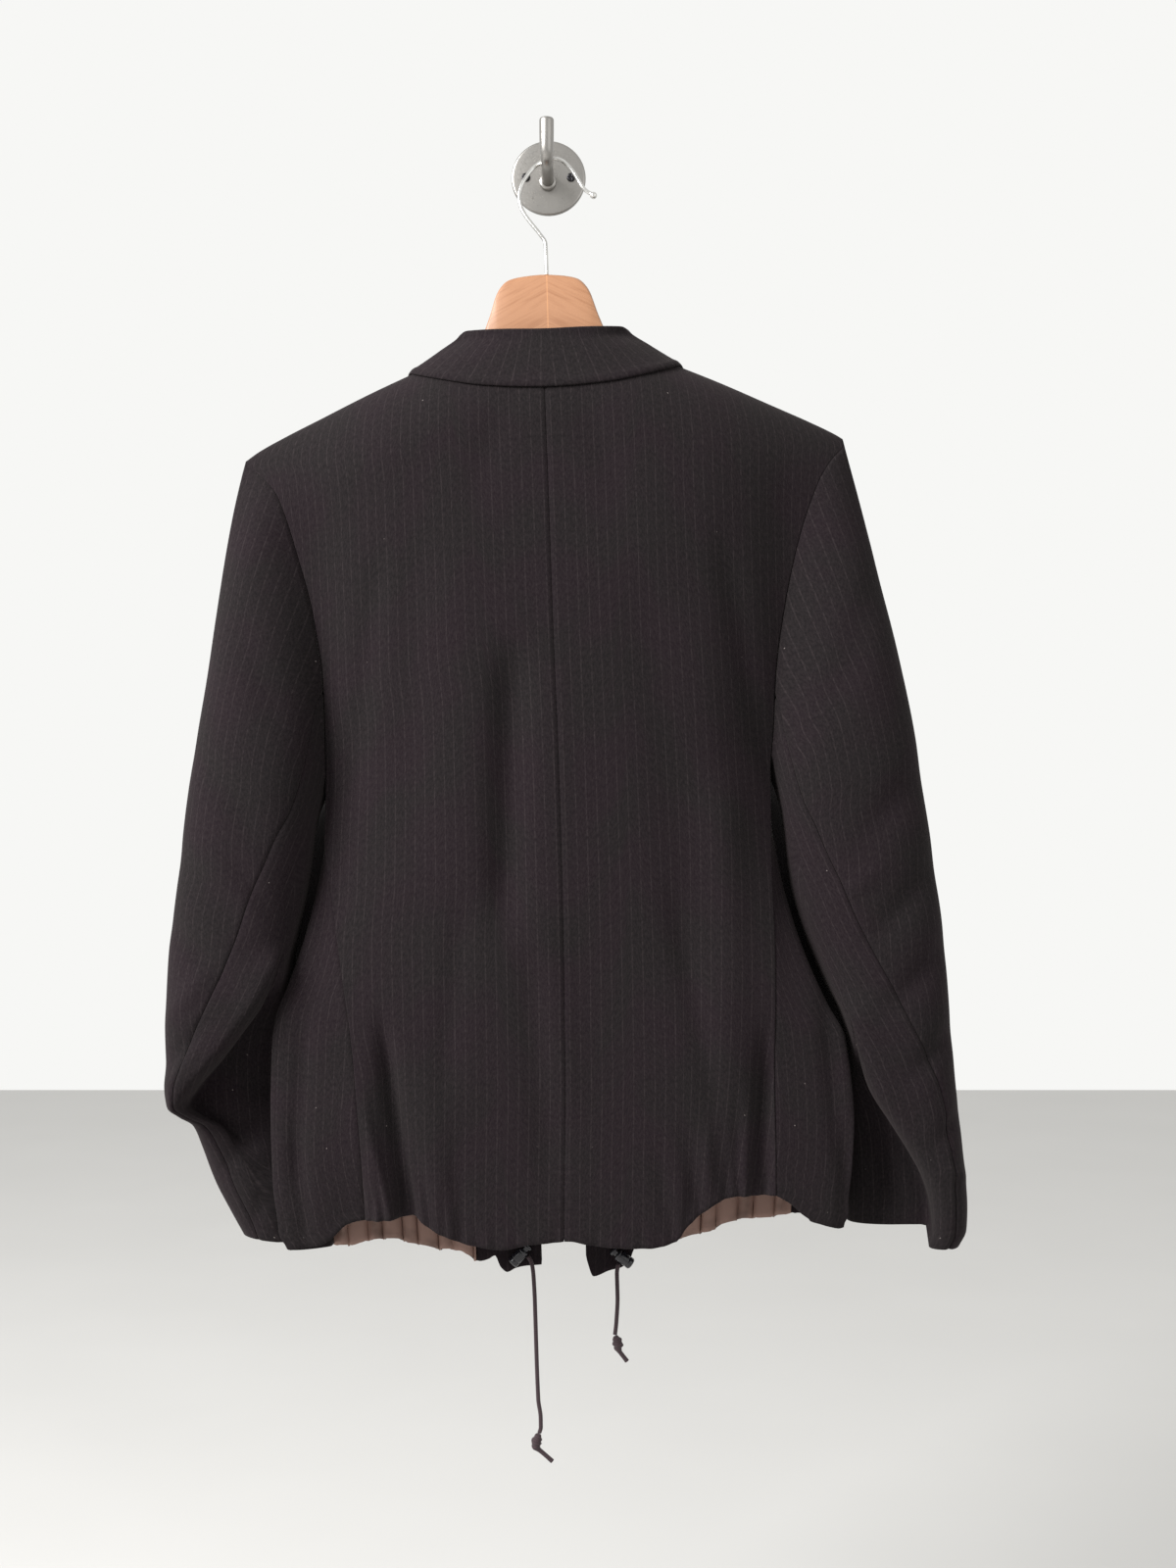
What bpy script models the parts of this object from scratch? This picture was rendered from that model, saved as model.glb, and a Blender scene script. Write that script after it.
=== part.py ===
"""Drawstring jacket on a wooden hanger, hung on a round wall hook.

The photograph shows the jacket's back. Sizes are millimetres in a hanging frame
whose origin is the centre of the wall plate's back face: x to the right, y out of
the camera toward the wall, z up. The hanger and jacket hang rolled by a small angle,
which is applied when each solid is made.
"""
import math

import bpy
import numpy as np

MM = 0.001
ROLL = math.radians(1.7)
CENTRE = -6.0
CLOTH = 1.5
TRIM = 0.18
SHOULDER_ROUND = 70.0

for old in list(bpy.data.objects):
    bpy.data.objects.remove(old, do_unlink=True)

# Columns: distance from the centre, height of the shoulder line
RIDGE = [
    (0.0, -139.0), (30.0, -141.0), (50.0, -144.0), (68.0, -148.5), (102.0, -163.5),
    (132.0, -176.8), (169.0, -194.5), (198.5, -208.8), (216.0, -218.2), (225.0, -224.5),
]
# Columns: distance from the centre, height of the back's top edge
BACK_TOP = [
    (0.0, -166.0), (25.0, -163.5), (45.0, -157.5), (60.0, -151.5), (68.0, -148.5),
    (102.0, -163.5), (132.0, -176.8), (169.0, -194.5), (198.5, -208.8), (216.0, -218.2),
    (225.0, -224.5),
]
# Columns: distance from the centre, height of the front's top edge
FRONT_TOP = [
    (20.0, -236.0), (30.0, -229.0), (40.0, -213.0), (50.0, -193.5), (60.0, -170.5),
    (68.0, -148.5), (102.0, -163.5), (132.0, -176.8), (169.0, -194.5), (198.5, -208.8),
    (216.0, -218.2), (225.0, -224.5),
]
# Columns: height, centre-back seam x, left armhole and side seam, right ones
BACK_EDGE = [
    (-140.0, -6.0, 225.0, 225.0), (-191.0, -6.0, 225.0, 225.0), (-224.5, -5.8, 225.0, 221.0),
    (-240.0, -5.6, 211.0, 209.0), (-254.0, -5.5, 200.0, 200.0), (-296.0, -5.3, 187.0, 184.0),
    (-346.0, -5.1, 176.0, 172.0), (-396.0, -4.6, 171.0, 164.0), (-439.0, -4.0, 171.5, 161.0),
    (-462.0, -3.9, 172.0, 158.5), (-489.0, -3.8, 173.0, 157.5), (-511.0, -3.8, 174.0, 157.0),
    (-547.0, -3.9, 169.0, 156.0), (-586.0, -4.2, 164.0, 156.0), (-619.0, -4.6, 159.5, 155.0),
    (-647.0, -5.2, 156.0, 154.0), (-684.0, -5.8, 153.0, 152.0), (-750.0, -8.5, 150.0, 151.0),
    (-820.0, -11.0, 149.0, 150.0),
]
# Columns: height, then the back's depth at each distance in BACK_AT
BACK_AT = (0.0, 60.0, 110.0, 145.0, 175.0, 205.0, 222.0)
BACK_DEPTH = [
    (-150.0, -110.0, -110.0, -109.0, -104.0, -98.0, -90.0, -84.0),
    (-225.0, -112.0, -112.0, -110.0, -104.0, -96.0, -88.0, -82.0),
    (-300.0, -113.0, -113.0, -108.0, -98.0, -86.0, -80.0, -76.0),
    (-400.0, -113.0, -112.0, -105.0, -91.0, -76.0, -70.0, -66.0),
    (-460.0, -112.0, -111.0, -103.0, -88.0, -72.0, -64.0, -60.0),
    (-520.0, -111.0, -110.0, -104.0, -92.0, -78.0, -70.0, -66.0),
    (-580.0, -110.0, -109.0, -105.0, -99.0, -90.0, -84.0, -80.0),
    (-640.0, -109.0, -109.0, -107.0, -104.0, -100.0, -95.0, -90.0),
    (-720.0, -108.0, -108.0, -107.0, -105.0, -102.0, -98.0, -93.0),
    (-820.0, -107.0, -107.0, -106.0, -104.0, -101.0, -98.0, -93.0),
]
FRONT_AT = (0.0, 60.0, 120.0, 160.0, 190.0, 222.0)
FRONT_DEPTH = [
    (-150.0, -15.0, -15.0, -17.0, -22.0, -30.0, -38.0),
    (-225.0, -15.0, -15.0, -17.0, -22.0, -30.0, -38.0),
    (-400.0, -13.0, -13.0, -14.0, -18.0, -24.0, -30.0),
    (-460.0, -13.0, -13.0, -14.0, -17.0, -21.0, -25.0),
    (-600.0, -13.0, -13.0, -14.0, -15.0, -17.0, -20.0),
    (-820.0, -16.0, -16.0, -16.0, -16.0, -17.0, -19.0),
]
# Columns: height, side edge left and right, its depth, mid side left and right
SIDE_EDGE = [
    (-440.0, 170.5, 156.0, -58.0, 169.0, 154.5), (-462.0, 170.5, 156.0, -56.0, 169.0, 154.5),
    (-489.0, 171.5, 156.0, -60.0, 169.0, 154.5), (-514.0, 174.5, 159.5, -66.0, 169.5, 156.0),
    (-546.0, 181.0, 164.0, -73.0, 172.0, 159.0), (-581.0, 190.0, 172.0, -82.0, 177.0, 164.0),
    (-613.0, 201.5, 182.5, -88.0, 182.0, 171.0), (-640.0, 212.0, 194.0, -92.0, 186.0, 178.0),
    (-665.0, 215.0, 206.0, -94.0, 188.0, 184.0), (-723.0, 217.0, 210.5, -95.0, 189.0, 187.0),
    (-760.0, 216.6, 208.0, -95.0, 189.0, 187.0), (-789.0, 213.8, 204.5, -95.0, 188.0, 186.0),
    (-815.0, 212.3, 207.0, -95.0, 187.0, 186.0),
]
SIDE_MID_DEPTH = -52.0
SIDE_HEM_REACH = 205.0
# Columns: height, front edge x left and right, front side seam left and right
FRONT_EDGE = [
    (-140.0, -34.0, 19.0, 225.0, 225.0), (-224.5, -34.0, 19.0, 225.0, 222.0),
    (-240.0, -34.0, 18.0, 213.0, 210.0), (-260.0, -34.0, 17.0, 203.0, 199.0),
    (-300.0, -34.0, 15.0, 192.0, 186.0), (-350.0, -33.5, 14.0, 183.5, 175.0),
    (-400.0, -33.0, 13.0, 178.0, 167.5), (-440.0, -33.0, 12.0, 176.0, 166.0),
    (-478.0, -33.0, 11.0, 180.0, 170.0), (-498.0, -32.8, 10.6, 190.5, 177.0),
    (-540.0, -32.5, 10.0, 203.0, 190.0),
    (-590.0, -32.2, 9.5, 215.0, 207.0), (-640.0, -32.0, 8.5, 215.0, 216.0),
    (-700.0, -31.0, 7.0, 202.0, 214.0), (-760.0, -30.5, 6.0, 190.0, 196.0),
    (-853.0, -30.0, 4.0, 183.0, 184.0),
]
# Columns: x, height of the back's hem
BACK_HEM = [
    (-228.0, -805.0), (-211.0, -807.0), (-203.0, -808.0), (-193.0, -807.0), (-180.0, -804.5),
    (-173.0, -798.0), (-167.0, -790.5), (-159.0, -787.5), (-144.0, -786.5), (-133.0, -785.5),
    (-121.0, -784.5), (-113.0, -789.5), (-102.0, -797.0), (-92.0, -801.0), (-84.0, -804.5),
    (-68.0, -808.3), (-57.0, -810.0), (-47.0, -809.0), (-36.0, -806.8), (-22.0, -806.0),
    (-7.0, -805.0), (7.0, -808.0), (35.0, -811.6), (53.0, -812.0), (71.0, -808.0),
    (80.0, -797.0), (95.0, -785.0), (105.0, -779.5), (114.0, -777.0), (133.0, -777.5),
    (144.0, -777.0), (151.0, -780.5), (157.0, -785.5), (162.0, -791.5), (170.0, -798.0),
    (180.0, -802.0), (190.0, -804.0), (206.0, -803.0),
]
# Columns: x, height of the front's hem
FRONT_HEM = [
    (-200.0, -818.0), (-187.0, -823.5), (-176.0, -823.0), (-165.0, -820.5), (-145.0, -820.5),
    (-126.0, -823.6), (-116.0, -826.5), (-108.0, -830.0), (-93.0, -830.5), (-84.0, -836.0),
    (-78.0, -839.0), (-71.0, -837.5), (-66.0, -835.0), (-62.0, -844.0), (-57.0, -848.0),
    (-50.0, -845.0), (-42.0, -843.6), (-30.0, -843.0), (2.5, -829.0), (5.0, -841.0),
    (10.0, -853.4), (23.0, -849.0), (32.0, -847.0), (38.0, -842.0), (44.0, -829.5),
    (74.0, -828.0), (86.0, -823.5), (100.0, -820.5), (115.0, -815.5), (132.0, -812.0),
    (150.5, -810.5), (168.0, -809.5), (185.0, -811.0),
]
# Columns: start x, start z, end x, end z, half width, depth toward the wall
BACK_FOLDS = [
    (-34.0, -385.0, -46.0, -560.0, 15.0, 4.0),
    (-20.0, -560.0, -8.0, -700.0, 16.0, -2.5),
    (-178.5, -655.0, -158.0, -800.0, 9.0, 6.0),
    (-139.0, -660.0, -122.0, -800.0, 9.0, 5.0),
    (-160.0, -690.0, -140.0, -800.0, 10.0, -4.0),
    (-105.0, -690.0, -98.0, -810.0, 13.0, -3.0),
    (82.0, -735.0, 90.0, -800.0, 7.0, 3.5),
    (106.0, -740.0, 107.0, -790.0, 7.0, 3.5),
    (140.0, -670.0, 133.0, -790.0, 9.0, 5.0),
    (165.0, -680.0, 172.0, -800.0, 10.0, -4.0),
    (60.0, -330.0, 96.0, -620.0, 22.0, 3.0),
    (118.0, -480.0, 112.0, -690.0, 18.0, -4.0),
    (-104.0, -300.0, -120.0, -520.0, 20.0, 3.0),
]


def slopes_of(keys, values):
    """Return limited slopes, so that a smooth curve never overshoots its rows."""
    steps = np.diff(values) / np.diff(keys)
    slopes = np.zeros(len(keys))
    slopes[0] = steps[0]
    slopes[-1] = steps[-1]
    for i in range(1, len(keys) - 1):
        if steps[i - 1] * steps[i] > 0.0:
            slopes[i] = 2.0 * steps[i - 1] * steps[i] / (steps[i - 1] + steps[i])
    return slopes


def on_curve(keys, values, slopes, key):
    """Return the value of a smooth curve at a key."""
    if key <= keys[0]:
        return float(values[0])
    if key >= keys[-1]:
        return float(values[-1])
    i = int(np.searchsorted(keys, key, side="right")) - 1
    width = keys[i + 1] - keys[i]
    t = (key - keys[i]) / width
    start = (1.0 + 2.0 * t) * (1.0 - t) ** 2 * values[i]
    end = t * t * (3.0 - 2.0 * t) * values[i + 1]
    lean = t * (1.0 - t) * width * ((1.0 - t) * slopes[i] - t * slopes[i + 1])
    return float(start + end + lean)


def route(keys, values, key):
    """Return a value on a smooth curve through a short list of values."""
    keys = np.array(keys)
    values = np.array(values)
    return on_curve(keys, values, slopes_of(keys, values), key)


TABLES = {}


def smooth(table, key, column=1):
    """Return one column of a table at a key, on a smooth curve through its rows."""
    name = (id(table), column)
    if name not in TABLES:
        rows = sorted((row[0], row[column]) for row in table)
        keys = np.array([row[0] for row in rows])
        values = np.array([row[1] for row in rows])
        TABLES[name] = (keys, values, slopes_of(keys, values))
    keys, values, slopes = TABLES[name]
    return on_curve(keys, values, slopes, key)


def depth_at(table, places, z, distance):
    """Return a depth from a table of heights against distances."""
    values = [smooth(table, z, i + 1) for i in range(len(places))]
    return route(places, values, distance)


def ease(t):
    """Return a soft step from 0 to 1."""
    t = min(max(t, 0.0), 1.0)
    return t * t * (3.0 - 2.0 * t)


def ridge_z(x):
    """Return the height of the shoulder line."""
    return smooth(RIDGE, abs(x - CENTRE))


def plane_y(z):
    """Return the depth of the tilted hanger plane."""
    return -46.0 - 0.14 * (-91.0 - z)


def fold_depth(folds, x, z):
    """Return how far the folds push the cloth toward the wall."""
    total = 0.0
    for x0, z0, x1, z1, half, depth in folds:
        length = math.hypot(x1 - x0, z1 - z0)
        ux = (x1 - x0) / length
        uz = (z1 - z0) / length
        along = (x - x0) * ux + (z - z0) * uz
        across = (x - x0) * uz - (z - z0) * ux
        share = ease(along / 60.0 + 0.5) * ease((length - along) / 60.0 + 0.5)
        total += depth * share * math.exp(-(across / half) ** 2)
    return total


def rounded(x, z):
    """Return the share of the full depth reached below the shoulder line."""
    drop = min(max((ridge_z(x) - z) / SHOULDER_ROUND, 0.0), 1.0)
    return math.sqrt(max(1.0 - (1.0 - drop) ** 2, 0.0))


def back_y(x, z):
    """Return the depth of the back's outer face."""
    full = depth_at(BACK_DEPTH, BACK_AT, z, abs(x - CENTRE)) + fold_depth(BACK_FOLDS, x, z)
    top = plane_y(ridge_z(x)) - TRIM
    return top + (full - top) * rounded(x, z)


def front_y(x, z):
    """Return the depth of the front's outer face, without its gathers."""
    full = depth_at(FRONT_DEPTH, FRONT_AT, z, abs(x - CENTRE))
    top = plane_y(ridge_z(x)) + TRIM
    return top + (full - top) * rounded(x, z)


def hang(points):
    """Return world metres from hanging-frame millimetres."""
    p = np.asarray(points, dtype=float)
    c = math.cos(ROLL)
    s = math.sin(ROLL)
    return np.stack([p[:, 0] * c - p[:, 2] * s, p[:, 1], p[:, 0] * s + p[:, 2] * c], 1) * MM


def srgb(code):
    """Return a linear colour from a hex code."""
    parts = [int(code[i:i + 2], 16) / 255.0 for i in (0, 2, 4)]
    linear = [v / 12.92 if v <= 0.04045 else ((v + 0.055) / 1.055) ** 2.4 for v in parts]
    return (*linear, 1.0)


def paint(item, code, rough, metal=0.0):
    """Give an object its own plain material."""
    material = bpy.data.materials.new(item.name)
    material.use_nodes = True
    shader = material.node_tree.nodes["Principled BSDF"]
    shader.inputs["Base Color"].default_value = srgb(code)
    shader.inputs["Roughness"].default_value = rough
    shader.inputs["Metallic"].default_value = metal
    material.diffuse_color = srgb(code)
    item.data.materials.clear()
    item.data.materials.append(material)


WOOL = ("322C2C", 0.95)
LINING = ("7A6259", 0.8)
CORD = ("4A3538", 0.9)
PLASTIC = ("17151A", 0.35)
WOOD = ("E0A878", 0.55)
NICKEL = ("B9B9B7", 0.3, 1.0)

room = bpy.data.collections.new("Drawstring jacket")
bpy.context.scene.collection.children.link(room)


def solid(name, points, faces, finish, origin=None):
    """Make one closed, outward-facing object from hanging-frame points."""
    world = hang(points)
    volume = 0.0
    for face in faces:
        for k in range(1, len(face) - 1):
            a, b, c = world[face[0]], world[face[k]], world[face[k + 1]]
            volume += float(np.dot(a, np.cross(b, c)))
    if volume < 0.0:
        faces = [tuple(reversed(face)) for face in faces]
    start = np.zeros(3)
    if origin is not None:
        start = hang([origin])[0]
    mesh = bpy.data.meshes.new(name)
    mesh.from_pydata([tuple(p - start) for p in world], [], faces)
    mesh.validate()
    item = bpy.data.objects.new(name, mesh)
    item.location = start
    room.objects.link(item)
    paint(item, *finish)
    return item


def face_normals(grid, wrap=False):
    """Return unit normals of a grid of points from its row and column steps."""
    if wrap:
        across = np.roll(grid, -1, axis=1) - np.roll(grid, 1, axis=1)
    else:
        across = np.gradient(grid, axis=1)
    along = np.gradient(grid, axis=0)
    normal = np.cross(across, along)
    length = np.linalg.norm(normal, axis=2, keepdims=True)
    return normal / np.maximum(length, 1e-9)


def calm(normals, times):
    """Return normals averaged with their neighbours."""
    for _ in range(times):
        padded = np.pad(normals, ((1, 1), (1, 1), (0, 0)), mode="edge")
        total = padded[:-2, 1:-1] + padded[2:, 1:-1] + padded[1:-1, :-2] + padded[1:-1, 2:]
        total += 2.0 * normals
        normals = total / np.linalg.norm(total, axis=2, keepdims=True)
    return normals


def calm_ring(normals):
    """Return a tube's normals averaged with their neighbours round and along it."""
    padded = np.pad(normals, ((1, 1), (0, 0), (0, 0)), mode="edge")
    total = padded[:-2] + padded[2:] + 2.0 * normals
    total += np.roll(normals, 1, axis=1) + np.roll(normals, -1, axis=1)
    return total / np.linalg.norm(total, axis=2, keepdims=True)


def wall(name, outer, normals, thickness, finish):
    """Make a cloth wall: an outer grid, an inner grid and the rim between them."""
    rows, columns = outer.shape[:2]
    inner = outer - normals * thickness
    points = np.concatenate([outer.reshape(-1, 3), inner.reshape(-1, 3)])
    shift = rows * columns
    faces = []
    for i in range(rows - 1):
        for j in range(columns - 1):
            a = i * columns + j
            b = a + 1
            c = a + columns + 1
            d = a + columns
            faces.append((a, b, c))
            faces.append((a, c, d))
            faces.append((shift + c, shift + b, shift + a))
            faces.append((shift + d, shift + c, shift + a))
    edge = [(0, j) for j in range(columns)]
    edge += [(i, columns - 1) for i in range(1, rows)]
    edge += [(rows - 1, j) for j in range(columns - 2, -1, -1)]
    edge += [(i, 0) for i in range(rows - 2, 0, -1)]
    flat = [i * columns + j for i, j in edge]
    for a, b in zip(flat, flat[1:] + flat[:1]):
        faces.append((b, a, shift + a, shift + b))
    return solid(name, points, faces, finish)


def toward(normals, direction):
    """Turn normals over where they point against a direction."""
    side = np.sum(normals * np.asarray(direction), axis=2, keepdims=True)
    return np.where(side < 0.0, -normals, normals)


# Share of each panel's length at each row; the armhole ends at row ARMHOLE_ROW
ROWS = (0.0, 0.006, 0.02, 0.045, 0.08, 0.125, 0.18, 0.24, 0.30, 0.36, 0.4237, 0.49,
        0.56, 0.62, 0.67, 0.72, 0.77, 0.83, 0.88, 0.92, 0.96, 1.0)
ARMHOLE_ROW = 10
SHOULDER = {"left": 225.0, "right": 220.0}
BACK_COLUMNS = 14
SIDE_COLUMNS = 8
SIDE_KNOTS = (0.0, 0.45, 0.78, 1.0)
SIDES = {"left": -1.0, "right": 1.0}
# Distances from the centre of the front's columns at the hem: facing, then gathers
GATHERS = {"left": (24.0, 32.0, 41.0, 53.0, 68.0), "right": (10.0, 18.0, 27.0, 37.0, 47.0)}
GATHER_START = {"left": 75.0, "right": 52.0}
GATHER_END = {"left": 179.0, "right": 158.0}
GATHER_COLUMNS = {"left": 17, "right": 17}
PLAIN_END = {"left": (), "right": (167.0, 176.0)}
GATHER_HEIGHT = 110.0
GATHER_DEPTH = 2.4


def side_x(table, column, side, z):
    """Return a panel's side edge, which starts at the shoulder's end."""
    drop = ridge_z(CENTRE + SHOULDER[side]) - z
    share = ease(drop / 14.0)
    distance = SHOULDER[side] * (1.0 - share) + smooth(table, z, column) * share
    return CENTRE + SIDES[side] * distance


def back_point(side, f, r):
    """Return a point of a back panel from its share across and share down."""
    column = 2 if side == "left" else 3
    z_top = smooth(BACK_TOP, f * SHOULDER[side])
    x_hem = (1.0 - f) * smooth(BACK_EDGE, -805.0, 1)
    x_hem += f * side_x(BACK_EDGE, column, side, -785.0)
    z = z_top + r * (smooth(BACK_HEM, x_hem) - z_top)
    x = (1.0 - f) * smooth(BACK_EDGE, z, 1) + f * side_x(BACK_EDGE, column, side, z)
    return np.array([x, back_y(x, z), z])


def front_columns(side):
    """Return the front's column distances at the hem."""
    steps = np.linspace(GATHER_START[side], GATHER_END[side], GATHER_COLUMNS[side])
    return list(GATHERS[side]) + [float(v) for v in steps] + list(PLAIN_END[side])


def front_point(side, f, r, crest=0.0):
    """Return a point of a front panel; crest is +1 or -1 on the gathers."""
    edge = 1 if side == "left" else 2
    seam = 3 if side == "left" else 4
    x_top = (1.0 - f) * smooth(FRONT_EDGE, -200.0, edge)
    x_top += f * (CENTRE + SIDES[side] * SHOULDER[side])
    z_top = smooth(FRONT_TOP, abs(x_top - CENTRE))
    x_hem = (1.0 - f) * smooth(FRONT_EDGE, -845.0, edge)
    x_hem += f * side_x(FRONT_EDGE, seam, side, -822.0)
    z_hem = smooth(FRONT_HEM, x_hem)
    z = z_top + r * (z_hem - z_top)
    x = (1.0 - f) * smooth(FRONT_EDGE, z, edge) + f * side_x(FRONT_EDGE, seam, side, z)
    rise = ease(1.0 - (z - z_hem) / GATHER_HEIGHT)
    return np.array([x, front_y(x, z) + crest * GATHER_DEPTH * rise, z])


def unit(v):
    """Return vectors of length one."""
    return v / np.maximum(np.linalg.norm(v, axis=-1, keepdims=True), 1e-9)


def ridge_normals(grid, normals, least):
    """Point the top row's normals straight out of the shoulder line."""
    for j in range(grid.shape[1]):
        x = grid[0, j, 0]
        if abs(x - CENTRE) > least:
            lean = (ridge_z(x + 1.0) - ridge_z(x - 1.0)) / 2.0
            normals[0, j] = unit(np.array([-lean, 0.0, 1.0]))
    return normals


def share_normals(first, second):
    """Give two touching edges the same normals."""
    mean = unit(first + second)
    first[:] = mean
    second[:] = mean


def pull_in(grid, column, amount):
    """Trim one edge column of a grid toward its neighbour."""
    near = grid[:, column + 1] if column == 0 else grid[:, column - 1]
    grid[:, column] += unit(near - grid[:, column]) * amount


panels = {}
for side, way in SIDES.items():
    rows = len(ROWS)
    back = np.zeros((rows, BACK_COLUMNS, 3))
    for i, r in enumerate(ROWS):
        for j in range(BACK_COLUMNS):
            back[i, j] = back_point(side, j / (BACK_COLUMNS - 1), r)
    places = front_columns(side)
    first_gather = len(GATHERS[side])
    last_gather = first_gather + GATHER_COLUMNS[side] - 1
    front = np.zeros((rows, len(places), 3))
    for i, r in enumerate(ROWS):
        for j, place in enumerate(places):
            f = (place - places[0]) / (places[-1] - places[0])
            crest = 0.0
            if first_gather <= j < last_gather:
                crest = 1.0 if (j - first_gather) % 2 == 0 else -1.0
            front[i, j] = front_point(side, f, r, crest)
    low = rows - ARMHOLE_ROW
    under = np.zeros((low, SIDE_COLUMNS, 3))
    edge_column = 1 if side == "left" else 2
    mid_column = 4 if side == "left" else 5
    for i in range(low):
        k = ARMHOLE_ROW + i
        share = (ROWS[k] - ROWS[ARMHOLE_ROW]) / (1.0 - ROWS[ARMHOLE_ROW])
        start = back[k, -1]
        end = front[k, -1]
        for j in range(SIDE_COLUMNS):
            g = j / (SIDE_COLUMNS - 1)
            z_high = back[ARMHOLE_ROW, -1, 2] * (1.0 - g) + front[ARMHOLE_ROW, -1, 2] * g
            hem_edge = smooth(BACK_HEM, CENTRE + way * SIDE_HEM_REACH)
            if g < 0.45:
                place = start[0] + (CENTRE + way * SIDE_HEM_REACH - start[0]) * g / 0.45
                z_low = smooth(BACK_HEM, place)
            else:
                z_low = hem_edge + (front[-1, -1, 2] - hem_edge) * (g - 0.45) / 0.55
            z = z_high + share * (z_low - z_high)
            x_edge = CENTRE + way * smooth(SIDE_EDGE, z, edge_column)
            x_mid = CENTRE + way * smooth(SIDE_EDGE, z, mid_column)
            depths = (start[1], smooth(SIDE_EDGE, z, 3), SIDE_MID_DEPTH, end[1])
            x = route(SIDE_KNOTS, (start[0], x_edge, x_mid, end[0]), g)
            under[i, j] = (x, route(SIDE_KNOTS, depths, g), z)
    panels[side] = {"back": back, "front": front, "under": under, "places": places}

for side, way in SIDES.items():
    back = panels[side]["back"]
    front = panels[side]["front"]
    under = panels[side]["under"]
    back_n = calm(toward(face_normals(back), (0.0, -1.0, 0.0)), 1)
    back_n = ridge_normals(back, back_n, 66.0)
    front_n = calm(toward(face_normals(front), (0.0, 1.0, 0.0)), 3)
    front_n = ridge_normals(front, front_n, 66.0)
    under_n = face_normals(under)
    if under_n[6, 4, 0] * way < 0.0:
        under_n = -under_n
    share_normals(back_n[ARMHOLE_ROW:, -1], under_n[:, 0])
    share_normals(front_n[ARMHOLE_ROW:, -1], under_n[:, -1])
    panels[side]["back_n"] = back_n
    panels[side]["front_n"] = front_n
    panels[side]["under_n"] = under_n
share_normals(panels["left"]["back_n"][:, 0], panels["right"]["back_n"][:, 0])

FACING_GAP = 0.4
FACING_CLOTH = 1.0
LINING_ROWS = 5
FACING_ROW = 4
for side, way in SIDES.items():
    data = panels[side]
    armhole = [p.copy() for p in data["back"][:ARMHOLE_ROW, -1]]
    armhole += [p.copy() for p in data["under"][0]]
    armhole += [p.copy() for p in data["front"][:ARMHOLE_ROW, -1]][::-1]
    data["armhole"] = np.array(armhole)
    back = data["back"].copy()
    under = data["under"].copy()
    front = data["front"].copy()
    pull_in(back, 0, TRIM)
    low = back[ARMHOLE_ROW:].copy()
    pull_in(low, -1, TRIM)
    back[ARMHOLE_ROW:] = low
    pull_in(under, 0, TRIM)
    pull_in(under, -1, TRIM)
    low = front[ARMHOLE_ROW:].copy()
    pull_in(low, -1, TRIM)
    front[ARMHOLE_ROW:] = low
    wall("back_" + side, back, data["back_n"], CLOTH, WOOL)
    wall("side_" + side, under, data["under_n"], CLOTH, WOOL)
    wall("front_" + side, front, data["front_n"], CLOTH, WOOL)
    inside = data["front"] - data["front_n"] * (CLOTH + FACING_GAP)
    last = len(GATHERS[side]) - 1
    facing = inside[FACING_ROW:, :last + 1]
    facing_n = data["front_n"][FACING_ROW:, :last + 1]
    wall("facing_" + side, facing, facing_n, FACING_CLOTH, WOOL)
    stop = last + 1 + GATHER_COLUMNS[side]
    band = inside[-LINING_ROWS:, last + 1:stop]
    band_n = data["front_n"][-LINING_ROWS:, last + 1:stop]
    wall("lining_" + side, band, band_n, FACING_CLOTH, LINING)

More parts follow.
